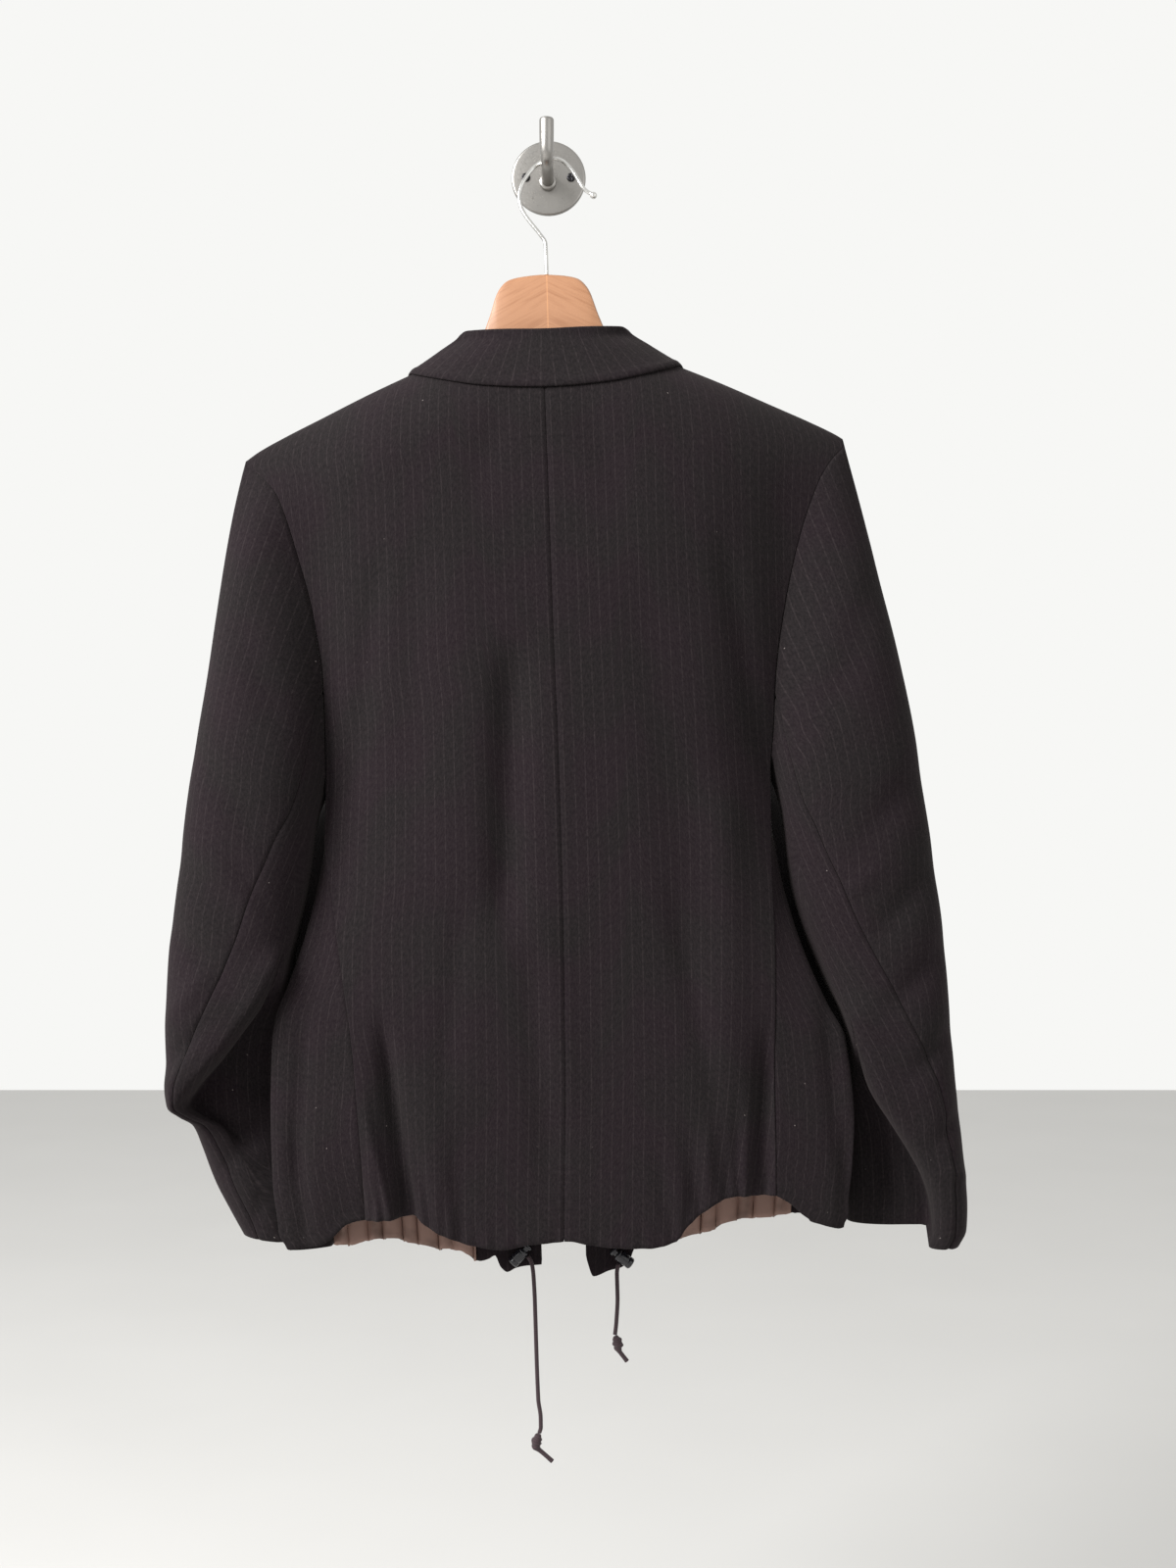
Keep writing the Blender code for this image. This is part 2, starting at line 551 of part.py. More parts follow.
# Sleeve rings. Columns: outer z and x, inner z and x, outer and inner mid depth,
# back face, front face, share of the armhole's shape, seam's place across, fold's
# place across, and the step behind the fold
SLEEVES = {
    "left": [
        (-262.0, -242.0, -469.0, -180.0, -68.0, -60.0, -106.0, -36.0, 0.74, 0.80, 0.93, 0.0),
        (-305.0, -251.5, -475.0, -181.0, -70.0, -62.0, -112.0, -32.0, 0.46, 0.84, 0.93, 0.0),
        (-350.0, -258.5, -481.0, -182.0, -72.0, -64.0, -115.0, -30.0, 0.22, 0.86, 0.93, 0.0),
        (-400.0, -266.0, -488.0, -184.0, -73.0, -66.0, -116.0, -29.0, 0.08, 0.86, 0.93, 0.0),
        (-445.0, -274.5, -496.0, -186.0, -74.0, -68.0, -115.0, -28.0, 0.0, 0.84, 0.93, 0.0),
        (-485.0, -281.5, -511.0, -188.5, -74.0, -70.0, -114.0, -28.0, 0.0, 0.77, 0.93, 0.0),
        (-520.0, -286.5, -530.0, -191.5, -74.0, -70.0, -114.0, -28.0, 0.0, 0.70, 0.93, 0.0),
        (-550.0, -291.0, -552.0, -196.0, -74.0, -68.0, -114.0, -28.0, 0.0, 0.63, 0.93, 0.0),
        (-580.0, -296.0, -578.0, -202.5, -74.0, -64.0, -114.0, -27.0, 0.0, 0.585, 0.95, 4.0),
        (-605.0, -298.5, -600.0, -207.5, -74.0, -55.0, -114.0, -26.0, 0.0, 0.50, 0.93, 16.0),
        (-628.0, -300.0, -625.0, -208.0, -74.0, -47.0, -114.0, -25.0, 0.0, 0.38, 0.81, 32.0),
        (-650.0, -301.0, -648.0, -208.0, -74.0, -46.0, -113.0, -24.0, 0.0, 0.26, 0.63, 42.0),
        (-670.0, -301.3, -670.0, -208.0, -73.0, -46.0, -112.0, -23.0, 0.0, 0.17, 0.45, 46.0),
        (-688.0, -302.5, -690.0, -208.0, -71.0, -45.0, -109.0, -22.0, 0.0, 0.12, 0.28, 44.0),
        (-701.0, -301.5, -704.0, -208.0, -66.0, -45.0, -103.0, -21.0, 0.0, 0.10, 0.19, 36.0),
        (-710.0, -297.0, -713.0, -208.0, -56.0, -44.0, -90.0, -20.0, 0.0, 0.12, 0.23, 24.0),
        (-720.0, -288.0, -724.0, -208.0, -50.0, -43.0, -76.0, -19.0, 0.0, 0.17, 0.32, 13.0),
        (-737.0, -282.5, -741.0, -208.0, -47.0, -43.0, -72.0, -18.5, 0.0, 0.22, 0.42, 7.0),
        (-762.0, -274.5, -766.0, -207.5, -46.0, -43.0, -71.0, -18.5, 0.0, 0.26, 0.50, 3.0),
        (-786.0, -263.0, -790.0, -207.0, -46.0, -43.0, -71.0, -19.0, 0.0, 0.30, 0.58, 0.0),
        (-804.0, -253.5, -810.0, -206.0, -46.0, -43.0, -71.0, -19.5, 0.0, 0.30, 0.60, 0.0),
    ],
    "right": [
        (-262.0, 223.0, -469.0, 155.5, -68.0, -60.0, -106.0, -36.0, 0.74, 0.86, 0.94, 0.0),
        (-305.0, 233.0, -475.0, 156.0, -70.0, -62.0, -112.0, -32.0, 0.46, 0.88, 0.94, 0.0),
        (-350.0, 242.5, -481.0, 157.0, -72.0, -64.0, -115.0, -30.0, 0.22, 0.885, 0.94, 0.0),
        (-400.0, 253.0, -489.0, 158.5, -73.0, -66.0, -116.0, -29.0, 0.08, 0.885, 0.94, 0.0),
        (-445.0, 260.0, -498.0, 160.0, -74.0, -68.0, -115.0, -28.0, 0.0, 0.87, 0.94, 0.0),
        (-485.0, 264.5, -512.0, 161.5, -74.0, -70.0, -114.0, -28.0, 0.0, 0.82, 0.94, 0.0),
        (-520.0, 269.0, -532.0, 163.0, -74.0, -70.0, -114.0, -28.0, 0.0, 0.76, 0.94, 0.0),
        (-550.0, 272.0, -553.0, 165.5, -74.0, -68.0, -114.0, -28.0, 0.0, 0.69, 0.94, 0.0),
        (-580.0, 275.5, -577.0, 171.0, -74.0, -66.0, -114.0, -27.0, 0.0, 0.64, 0.95, 0.0),
        (-605.0, 277.3, -600.0, 178.5, -74.0, -64.0, -114.0, -26.0, 0.0, 0.58, 0.95, 0.0),
        (-630.0, 278.5, -627.0, 189.0, -74.0, -62.0, -114.0, -25.0, 0.0, 0.50, 0.95, 4.0),
        (-655.0, 279.5, -650.0, 199.0, -74.0, -58.0, -114.0, -24.0, 0.0, 0.42, 0.95, 12.0),
        (-680.0, 280.8, -678.0, 204.0, -74.0, -50.0, -114.0, -23.0, 0.0, 0.29, 0.94, 24.0),
        (-703.0, 282.0, -702.0, 203.0, -74.0, -47.0, -114.0, -22.0, 0.0, 0.20, 0.84, 36.0),
        (-727.0, 284.0, -726.0, 203.0, -74.0, -46.0, -113.0, -22.0, 0.0, 0.16, 0.67, 42.0),
        (-750.0, 285.5, -748.0, 203.0, -73.0, -46.0, -112.0, -22.0, 0.0, 0.15, 0.51, 44.0),
        (-772.0, 287.0, -770.0, 203.0, -72.0, -45.0, -110.0, -21.0, 0.0, 0.15, 0.39, 43.0),
        (-792.0, 288.0, -788.0, 203.0, -70.0, -45.0, -107.0, -21.0, 0.0, 0.15, 0.34, 40.0),
        (-810.0, 287.5, -801.0, 203.0, -67.0, -44.0, -102.0, -21.0, 0.0, 0.15, 0.32, 34.0),
        (-822.5, 283.0, -809.0, 203.0, -62.0, -44.0, -94.0, -21.0, 0.0, 0.15, 0.31, 26.0),
    ],
}
SLEEVE_CLOTH = 1.2
SLEEVE_TRIM = 0.3
SLEEVE_OUTER = 7
SLEEVE_MIDDLE = 4
SLEEVE_INNER = 4
SLEEVE_FRONT_INNER = 4
SLEEVE_FRONT_OUTER = 7
FRONT_SEAM = 0.72
POWER = 2.3
ARMHOLE_GAP = 0.4
OVERHANG = 1.5


def along_line(line, share):
    """Return the point at a share of a polyline's length."""
    steps = np.linalg.norm(np.diff(line, axis=0), axis=1)
    total = np.concatenate([[0.0], np.cumsum(steps)])
    at = share * total[-1]
    return np.array([np.interp(at, total, line[:, k]) for k in range(3)])


def hump(q):
    """Return the height of a rounded section at a share across it."""
    return max(1.0 - abs(2.0 * q - 1.0) ** POWER, 0.0) ** (1.0 / POWER)


def sleeve_y(row, q, after):
    """Return a sleeve's back depth at a share across, before or after its fold."""
    mid_outer, mid_inner, deep, fold, step = row[4], row[5], row[6], row[10], row[11]
    mid = mid_outer + (mid_inner - mid_outer) * q
    plain = mid + (deep - mid) * hump(q)
    if after:
        s = min(max((q - fold) / (1.0 - fold), 0.0), 1.0)
        folded = mid_inner + (deep + step - mid_inner) * (1.0 - s ** POWER) ** (1.0 / POWER)
    else:
        s = min(q / (0.55 * fold), 1.0)
        folded = mid_outer + (deep - mid_outer) * (1.0 - (1.0 - s) ** POWER) ** (1.0 / POWER)
    share = ease(step / 12.0)
    return plain * (1.0 - share) + folded * share


def angle_of(q):
    """Return the ring angle at a share across the sleeve."""
    return math.acos(min(max(1.0 - 2.0 * q, -1.0), 1.0))


def sleeve_ring(side, row, armhole):
    """Return one sleeve ring: outer edge, back, inner edge, then front."""
    way = SIDES[side]
    zo, xo, zi, xi = row[0], row[1], row[2], row[3]
    seam, fold, step = row[9], row[10], row[11]
    a_seam, a_fold = angle_of(seam), angle_of(fold)
    a_after = a_fold + 0.4 * (math.pi - a_fold) * (1.0 - ease(step / 12.0)) + 0.02
    spots = [(a, False) for a in np.linspace(0.0, a_seam, SLEEVE_OUTER)]
    spots += [(a, False) for a in np.linspace(a_seam, a_fold, SLEEVE_MIDDLE)[1:]]
    spots += [(a, True) for a in np.linspace(a_after, math.pi, SLEEVE_INNER)]
    ring = []
    for k, (angle, after) in enumerate(spots):
        q = (1.0 - math.cos(angle)) / 2.0
        z = zo + (zi - zo) * q
        if step > 0.0:
            level = zi if after else zo
            z += (level - z) * ease(step / 24.0)
        x = xo + (xi - xo) * q
        if after and k == SLEEVE_OUTER + SLEEVE_MIDDLE - 1:
            x += way * OVERHANG * ease(step / 30.0)
        ring.append((x, sleeve_y(row, q, after), z, angle / (2.0 * math.pi)))
    seam_angle = math.pi * FRONT_SEAM
    fronts = list(np.linspace(math.pi, seam_angle, SLEEVE_FRONT_INNER)[1:])
    fronts += list(np.linspace(seam_angle, 0.0, SLEEVE_FRONT_OUTER)[1:-1])
    for angle in fronts:
        q = (1.0 - math.cos(angle)) / 2.0
        mid = row[4] + (row[5] - row[4]) * q
        y = mid + (row[7] - mid) * hump(q)
        ring.append((xo + (xi - xo) * q, y, zo + (zi - zo) * q, 1.0 - angle / (2.0 * math.pi)))
    points = []
    for x, y, z, t in ring:
        point = np.array([x, y, z])
        if row[8] > 0.0:
            near = armhole_at(armhole, t)
            point = near * row[8] + point * (1.0 - row[8])
        points.append(point)
    return np.array(points), [t for _, _, _, t in ring]


def clear_ring(ring, armhole, way):
    """Push a first ring outward until the armhole's own corners stay inside it."""
    count = len(ring)
    push = np.zeros(count)
    for corner in armhole:
        for k in range(count):
            a, b = ring[k], ring[(k + 1) % count]
            span = b[1:] - a[1:]
            t = float(np.dot(corner[1:] - a[1:], span) / max(np.dot(span, span), 1e-9))
            if 0.0 <= t <= 1.0:
                near = a + (b - a) * t
                if np.linalg.norm(near - corner) < 8.0:
                    out = (corner[0] - near[0]) * way
                    push[k] = max(push[k], out)
                    push[(k + 1) % count] = max(push[(k + 1) % count], out)
    moved = ring.copy()
    moved[:, 0] += way * push
    return moved


def armhole_at(armhole, t):
    """Return a point of the armhole loop at a share round it."""
    middle = ARMHOLE_ROW + SIDE_COLUMNS // 2
    if t <= 0.5:
        return along_line(armhole[:middle + 1], t * 2.0)
    return along_line(armhole[middle:], t * 2.0 - 1.0)


for side, way in SIDES.items():
    armhole = panels[side]["armhole"] + np.array([way * ARMHOLE_GAP, 0.0, 0.0])
    armhole[ARMHOLE_ROW:ARMHOLE_ROW + SIDE_COLUMNS, 2] += ARMHOLE_GAP
    rings = []
    for row in SLEEVES[side]:
        ring, shares = sleeve_ring(side, row, armhole)
        if not rings:
            first = np.array([armhole_at(armhole, t) for t in shares])
            rings.append(clear_ring(first, armhole, way))
        rings.append(ring)
    tube = np.array(rings)
    normals = face_normals(tube, wrap=True)
    centre = tube.mean(axis=1, keepdims=True)
    if np.sum(normals[8:12] * (tube - centre)[8:12]) < 0.0:
        normals = -normals
    normals = calm_ring(normals)
    outward = normals[0, :, 0] * way
    normals[0, :, 0] = np.where(outward > 0.0, 0.0, normals[0, :, 0])
    normals[0] = unit(normals[0])
    count = tube.shape[1]
    seam = SLEEVE_OUTER - 1
    front_seam = SLEEVE_OUTER + SLEEVE_MIDDLE - 1 + SLEEVE_INNER + SLEEVE_FRONT_INNER - 2
    low = list(range(seam, front_seam + 1))
    high = list(range(front_seam, count)) + list(range(0, seam + 1))
    for name, picks in (("upper", high), ("under", low)):
        grid = tube[:, picks].copy()
        pull_in(grid, 0, SLEEVE_TRIM)
        pull_in(grid, -1, SLEEVE_TRIM)
        wall("sleeve_%s_%s" % (side, name), grid, normals[:, picks], SLEEVE_CLOTH, WOOL)
    panels[side]["tube"] = tube

# Collar stations from the front edge to the centre back. Columns: distance from the
# centre, depth and height of the neckline, then of the fold, then distance and
# height of the fall's edge, then which surface lies below it
COLLAR = [
    (27.0, -16.0, -229.0, 23.0, -12.0, -224.0, 58.0, -258.0, "front"),
    (40.0, -20.0, -211.0, 33.0, -15.5, -204.0, 80.0, -236.0, "front"),
    (54.0, -29.0, -183.0, 46.0, -25.0, -173.0, 97.0, -206.0, "front"),
    (60.0, -35.0, -169.0, 52.0, -33.0, -158.0, 102.0, -195.0, "front"),
    (64.0, -41.0, -158.0, 56.5, -41.0, -146.0, 105.0, -182.0, "front"),
    (66.0, -47.5, -151.0, 59.5, -49.0, -139.5, 105.0, -171.5, "front"),
    (67.0, -54.0, -147.5, 61.0, -57.0, -136.0, 102.0, -163.5, "ridge"),
    (64.5, -61.5, -148.5, 59.5, -65.0, -136.0, 98.5, -166.0, "back"),
    (60.0, -69.0, -150.5, 57.0, -72.0, -136.0, 93.0, -169.0, "back"),
    (45.0, -80.0, -156.5, 46.0, -82.0, -137.5, 74.0, -175.5, "back"),
    (24.0, -87.0, -163.0, 25.0, -89.0, -139.0, 42.0, -182.0, "back"),
    (0.0, -88.5, -165.5, 0.0, -91.0, -140.0, 0.0, -184.5, "back"),
]
COLLAR_CLOTH = 1.5
COLLAR_CLEAR = {"front": 5.0, "ridge": 3.0, "back": 2.8}


def surface_normal(side, x, z):
    """Return the outward normal of the back or the front at a place."""
    face = back_y if side == "back" else front_y
    lean_x = (face(x + 1.0, z) - face(x - 1.0, z)) / 2.0
    lean_z = (face(x, z + 1.0) - face(x, z - 1.0)) / 2.0
    normal = unit(np.array([-lean_x, 1.0, -lean_z]))
    return -normal if side == "back" else normal


def above(side, x, z, clear):
    """Return a point a clear distance off the torso's surface."""
    if side == "ridge":
        lean = (ridge_z(x + 1.0) - ridge_z(x - 1.0)) / 2.0
        out = unit(np.array([-lean, 0.0, 1.0]))
        return np.array([x, plane_y(ridge_z(x)), ridge_z(x)]) + out * clear
    face = back_y if side == "back" else front_y
    z = min(z, ridge_z(x) - 3.0)
    return np.array([x, face(x, z), z]) + surface_normal(side, x, z) * clear


stations = []
for way, rows in ((-1.0, COLLAR), (1.0, COLLAR[::-1][1:])):
    for row in rows:
        d, y, z, fd, fy, fz, ed, ez, kind = row
        neck = np.array([CENTRE + way * d, y, z])
        fold = np.array([CENTRE + way * fd, fy, fz])
        room_left = COLLAR_CLEAR[kind]
        edge = above(kind, CENTRE + way * ed, ez, room_left)
        up = unit(fold - neck)
        out = edge - neck
        out = unit(out - up * np.dot(out, up))
        low = fold + out * 4.2 - up * 4.0
        fall = [fold + up * (COLLAR_CLOTH + 0.4), fold + out * 2.6 + up * (COLLAR_CLOTH - 0.2)]
        for share in (0.0, 0.35, 0.7):
            point = low + (edge - low) * share
            clear = above(kind, point[0], point[2], room_left)
            if kind == "back":
                point[1] = min(point[1], clear[1])
            elif kind == "front":
                point[1] = max(point[1], clear[1])
            else:
                point[2] = max(point[2], clear[2])
            fall.append(point)
        fall.append(edge)
        stand = [neck + up * 0.5, (neck + fold) / 2.0 + up * 0.2, fold]
        stations.append((stand, fall, out, up))

for name, part in (("stand", 0), ("fall", 1)):
    grid = np.array([station[part] for station in stations]).transpose(1, 0, 2)
    normals = face_normals(grid)
    outs = np.array([station[2] for station in stations])[None]
    middle = normals[len(grid) - 1]
    if np.sum(middle * outs[0]) < 0.0:
        normals = -normals
    if part == 1:
        normals[0] = np.array([station[3] for station in stations])
    wall("collar_" + name, grid, normals, COLLAR_CLOTH, WOOL)


def tube(name, path, radii, finish, sides=8, origin=None, squash=1.0):
    """Make a closed round body along a path with a radius at each point."""
    path = np.asarray(path, dtype=float)
    count = len(path)
    points = []
    frame = None
    for i in range(count):
        ahead = path[min(i + 1, count - 1)] - path[max(i - 1, 0)]
        ahead = unit(ahead)
        if frame is None:
            guide = np.array([0.0, 1.0, 0.0])
            if abs(ahead[1]) > 0.9:
                guide = np.array([1.0, 0.0, 0.0])
            frame = guide
        across = unit(frame - ahead * np.dot(frame, ahead))
        frame = across
        other = np.cross(ahead, across)
        for k in range(sides):
            a = 2.0 * math.pi * k / sides
            spoke = across * math.cos(a) * squash + other * math.sin(a)
            points.append(path[i] + spoke * radii[i])
    faces = []
    for i in range(count - 1):
        for k in range(sides):
            a = i * sides + k
            b = i * sides + (k + 1) % sides
            faces.append((a, b, b + sides, a + sides))
    faces.append(tuple(range(sides - 1, -1, -1)))
    faces.append(tuple((count - 1) * sides + k for k in range(sides)))
    return solid(name, points, faces, finish, origin)


def bent(points, spacing):
    """Return a smooth path through points, resampled at an even spacing."""
    points = np.asarray(points, dtype=float)
    steps = np.linalg.norm(np.diff(points, axis=0), axis=1)
    keys = np.concatenate([[0.0], np.cumsum(steps)])
    slopes = [slopes_of(keys, points[:, k]) for k in range(3)]
    count = max(int(round(keys[-1] / spacing)), 2)
    return np.array([
        [on_curve(keys, points[:, k], slopes[k], at) for k in range(3)]
        for at in np.linspace(0.0, keys[-1], count + 1)
    ])


# Hanger sections. Columns: distance from the centre, top height, bottom height,
# half thickness
HANGER = [
    (202.0, -217.5, -229.0, 4.0), (199.0, -213.5, -233.0, 6.0), (185.0, -205.5, -232.5, 6.5),
    (169.0, -197.5, -227.0, 6.5), (132.0, -179.7, -212.0, 6.5), (102.0, -166.4, -200.0, 6.5),
    (80.0, -157.2, -190.0, 6.5), (68.0, -154.0, -184.0, 6.5), (59.0, -151.0, -178.0, 7.0),
    (52.5, -146.0, -175.0, 7.0), (46.5, -134.0, -172.0, 7.5), (41.0, -120.0, -168.0, 8.0),
    (35.5, -103.0, -163.0, 8.0), (32.5, -97.5, -161.0, 8.0), (26.0, -91.5, -158.0, 8.0),
    (14.0, -88.8, -156.0, 8.0), (0.0, -87.8, -155.0, 8.0),
]
HANGER_BEVEL = 5.0
points = []
sections = [(-1.0, row) for row in HANGER] + [(1.0, row) for row in HANGER[::-1][1:]]
for way, (d, top, low, half) in sections:
    x = CENTRE + way * d
    bevel = min(HANGER_BEVEL, half * 0.75)
    outline = [
        (-half, top - bevel), (-half + bevel, top), (half - bevel, top), (half, top - bevel),
        (half, low + bevel), (half - bevel, low), (-half + bevel, low), (-half, low + bevel),
    ]
    for y, z in outline:
        points.append((x, plane_y(z) + y, z))
faces = []
for i in range(len(sections) - 1):
    for k in range(8):
        a = i * 8 + k
        b = i * 8 + (k + 1) % 8
        faces.append((a, b, b + 8, a + 8))
faces.append(tuple(range(7, -1, -1)))
faces.append(tuple((len(sections) - 1) * 8 + k for k in range(8)))
solid("hanger_bar", points, faces, WOOD)

# Hook wire, from the neck up over the peg to the ball. Columns: x, height
WIRE = [
    (-3.0, -87.2), (-3.1, -74.0), (-3.4, -62.0), (-7.5, -54.5), (-13.0, -47.0), (-18.6, -38.6),
    (-21.6, -31.3), (-22.4, -23.8), (-20.6, -15.9), (-16.6, -8.6), (-11.7, -2.6), (-5.8, 2.2),
    (0.2, 4.9), (6.2, 5.2), (10.8, 3.6), (15.2, -0.4), (19.2, -5.6), (22.7, -11.6),
    (25.6, -17.4), (28.8, -21.2), (32.4, -23.8),
]
WIRE_RADIUS = 1.5
BALL_RADIUS = 2.6
lane = bent([(x, plane_y(z), z) for x, z in WIRE], 5.5)
ahead = unit(lane[-1] - lane[-2])
radii = [WIRE_RADIUS] * len(lane)
ball = [(0.0, 1.5), (0.5, 2.1), (1.6, BALL_RADIUS), (3.2, BALL_RADIUS), (4.3, 2.0), (4.8, 1.0)]
lane = list(lane) + [lane[-1] + ahead * (0.4 + step) for step, _ in ball]
radii += [radius for _, radius in ball]
tube("hanger_hook", lane, radii, NICKEL, sides=8)

# Wall plate profile. Columns: radius, depth in front of the wall
PLATE = [(29.0, 0.0), (29.0, -2.2), (27.6, -3.4), (20.0, -4.1), (6.6, -4.6)]
SCREW_AT = 17.6
PLATE_SIDES = 32
points = []
for radius, y in PLATE:
    for k in range(PLATE_SIDES):
        a = 2.0 * math.pi * k / PLATE_SIDES
        points.append((radius * math.cos(a), y, radius * math.sin(a)))
faces = []
for i in range(len(PLATE) - 1):
    for k in range(PLATE_SIDES):
        a = i * PLATE_SIDES + k
        b = i * PLATE_SIDES + (k + 1) % PLATE_SIDES
        faces.append((a, b, b + PLATE_SIDES, a + PLATE_SIDES))
faces.append(tuple(range(PLATE_SIDES - 1, -1, -1)))
faces.append(tuple((len(PLATE) - 1) * PLATE_SIDES + k for k in range(PLATE_SIDES)))


def level(points):
    """Return points that stay level in the world, given in the hanging frame."""
    c = math.cos(-ROLL)
    s = math.sin(-ROLL)
    return [(x * c - z * s, y, x * s + z * c) for x, y, z in points]


solid("hook_plate", level(points), faces, NICKEL)
for side, way in SIDES.items():
    x = way * SCREW_AT
    tube("hook_screw_" + side, level([(x, -4.55, 0.0), (x, -5.0, 0.0), (x, -5.6, 0.0)]),
         [3.4, 3.4, 2.2], ("3B3A3C", 0.4, 0.9), sides=14)

# Peg path in the world frame. Columns: depth, height, radius
PEG = [
    (-5.0, -4.2, 6.6), (-8.0, -4.2, 6.6), (-9.0, -4.1, 4.6), (-20.0, -3.3, 4.6),
    (-32.0, -2.1, 4.6), (-40.0, -0.9, 4.8), (-45.0, 2.0, 5.0), (-48.0, 6.6, 5.2),
    (-49.2, 13.0, 5.4), (-49.8, 22.0, 5.5), (-50.0, 29.0, 5.5), (-50.0, 30.2, 4.8),
]
lane = level([(-0.5, y, z) for y, z, _ in PEG])
tube("hook_peg", lane, [radius for _, _, radius in PEG], NICKEL, sides=14)


def lathe(name, start, axis, profile, finish, sides=14, origin=None):
    """Make a closed turned body from a profile of distances along an axis and radii."""
    start = np.array(start)
    axis = unit(np.array(axis))
    across = unit(np.cross(axis, np.array([0.0, 1.0, 0.0])))
    other = np.cross(axis, across)
    points = []
    for along, radius in profile:
        for k in range(sides):
            a = 2.0 * math.pi * k / sides
            points.append(start + axis * along + (across * math.cos(a)
                          + other * math.sin(a)) * radius)
    faces = []
    for i in range(len(profile) - 1):
        for k in range(sides):
            a = i * sides + k
            b = i * sides + (k + 1) % sides
            faces.append((a, b, b + sides, a + sides))
    faces.append(tuple(range(sides - 1, -1, -1)))
    faces.append(tuple((len(profile) - 1) * sides + k for k in range(sides)))
    return solid(name, points, faces, finish, origin)


def cord(name, points, radius):
    """Make a round cord as a bevelled curve."""
    curve = bpy.data.curves.new(name, "CURVE")
    curve.dimensions = "3D"
    curve.bevel_depth = radius * MM
    curve.bevel_resolution = 2
    curve.use_fill_caps = True
    lane = hang(bent(points, 8.0))
    spline = curve.splines.new("POLY")
    spline.points.add(len(lane) - 1)
    for spot, point in zip(spline.points, lane):
        spot.co = (*point, 1.0)
    item = bpy.data.objects.new(name, curve)
    room.objects.link(item)
    paint(item, *CORD)


# Cord lock: distances along the axis and radii
BARREL = [(0.0, 3.4), (0.9, 4.5), (13.0, 4.5), (13.8, 4.0), (13.8, 3.1), (5.0, 3.1)]
PLUNGER = [(8.0, 2.7), (16.4, 2.7), (16.4, 3.6), (17.4, 3.9), (18.4, 3.6), (19.0, 2.4)]
LOCK_DEPTH = -23.6
LOCKS = {
    "left": ((-52.6, LOCK_DEPTH, -840.4), (0.70, 0.0, 0.714)),
    "right": ((39.4, LOCK_DEPTH, -843.9), (-0.79, 0.0, 0.613)),
}
for side, (start, axis) in LOCKS.items():
    lathe("lock_barrel_" + side, start, axis, BARREL, PLASTIC)
    middle = tuple(np.array(start) + unit(np.array(axis)) * 16.4)
    lathe("lock_plunger_" + side, start, axis, PLUNGER, PLASTIC, origin=middle)

CORD_RADIUS = 1.6
CORDS = {
    "left": [(-40.35, -23.6, -835.60), (-38.6, -23.6, -837.8), (-36.9, -23.6, -844.0),
             (-36.3, -23.6, -852.0),
             (-35.9, -23.0, -872.0), (-35.9, -22.0, -913.0), (-35.6, -21.5, -946.0),
             (-34.2, -21.0, -960.0), (-34.3, -21.0, -968.0), (-35.5, -21.0, -972.1)],
    "right": [(29.75, -23.6, -843.25), (28.7, -23.6, -845.2), (27.8, -23.6, -851.0),
              (27.8, -23.6, -867.0),
              (26.3, -23.0, -888.0), (25.0, -23.0, -897.6)],
}
KNOTS = {
    "left": [(-35.6, -973.2, 1.7), (-36.4, -974.6, 2.9), (-37.4, -977.2, 4.1),
             (-38.2, -980.2, 4.3), (-38.0, -982.8, 3.6), (-36.8, -984.6, 2.2),
             (-34.8, -986.4, 1.7), (-31.0, -989.8, 1.7), (-26.2, -994.4, 1.8)],
    "right": [(25.0, -898.9, 1.7), (25.6, -900.2, 2.9), (26.4, -902.6, 4.1),
              (27.0, -905.4, 4.3), (27.2, -908.0, 3.5), (27.8, -910.0, 2.2),
              (28.8, -911.8, 1.7), (31.0, -914.8, 1.7), (33.6, -918.4, 1.8)],
}
KNOT_DEPTH = {"left": -21.0, "right": -23.0}
for side in SIDES:
    cord("cord_" + side, CORDS[side], CORD_RADIUS)
    lane = [(x, KNOT_DEPTH[side], z) for x, z, _ in KNOTS[side]]
    tube("knot_" + side, lane, [radius for _, _, radius in KNOTS[side]], CORD, sides=10)
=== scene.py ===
"""Looks of a short wool jacket with a drawstring hem, on a hanger and a round wall hook.

Sizes are millimetres in the hanging frame: x to the right, y from the camera to the
wall, z up, with the origin at the middle of the wall plate's back. The hanger and the
jacket hang rolled by ROLL, which is applied as each mesh is made.
"""

import logging
import math
from dataclasses import dataclass
from enum import Enum
from typing import Sequence

import bpy
import numpy as np
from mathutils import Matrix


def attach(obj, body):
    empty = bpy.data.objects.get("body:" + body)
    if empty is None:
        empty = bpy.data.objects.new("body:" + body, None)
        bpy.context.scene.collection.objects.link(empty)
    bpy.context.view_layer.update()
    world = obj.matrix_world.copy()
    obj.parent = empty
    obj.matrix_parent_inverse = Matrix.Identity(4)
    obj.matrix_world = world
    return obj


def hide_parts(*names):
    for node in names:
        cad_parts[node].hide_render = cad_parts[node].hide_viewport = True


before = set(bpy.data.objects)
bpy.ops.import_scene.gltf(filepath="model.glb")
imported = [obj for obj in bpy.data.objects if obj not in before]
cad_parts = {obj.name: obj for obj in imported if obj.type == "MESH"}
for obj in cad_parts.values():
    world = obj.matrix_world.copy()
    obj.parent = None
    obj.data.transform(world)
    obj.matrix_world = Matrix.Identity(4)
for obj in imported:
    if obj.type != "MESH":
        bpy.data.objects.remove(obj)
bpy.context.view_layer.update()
LOG = logging.getLogger("jacket")

Grid = np.ndarray
Rows = Sequence[Sequence[float]]

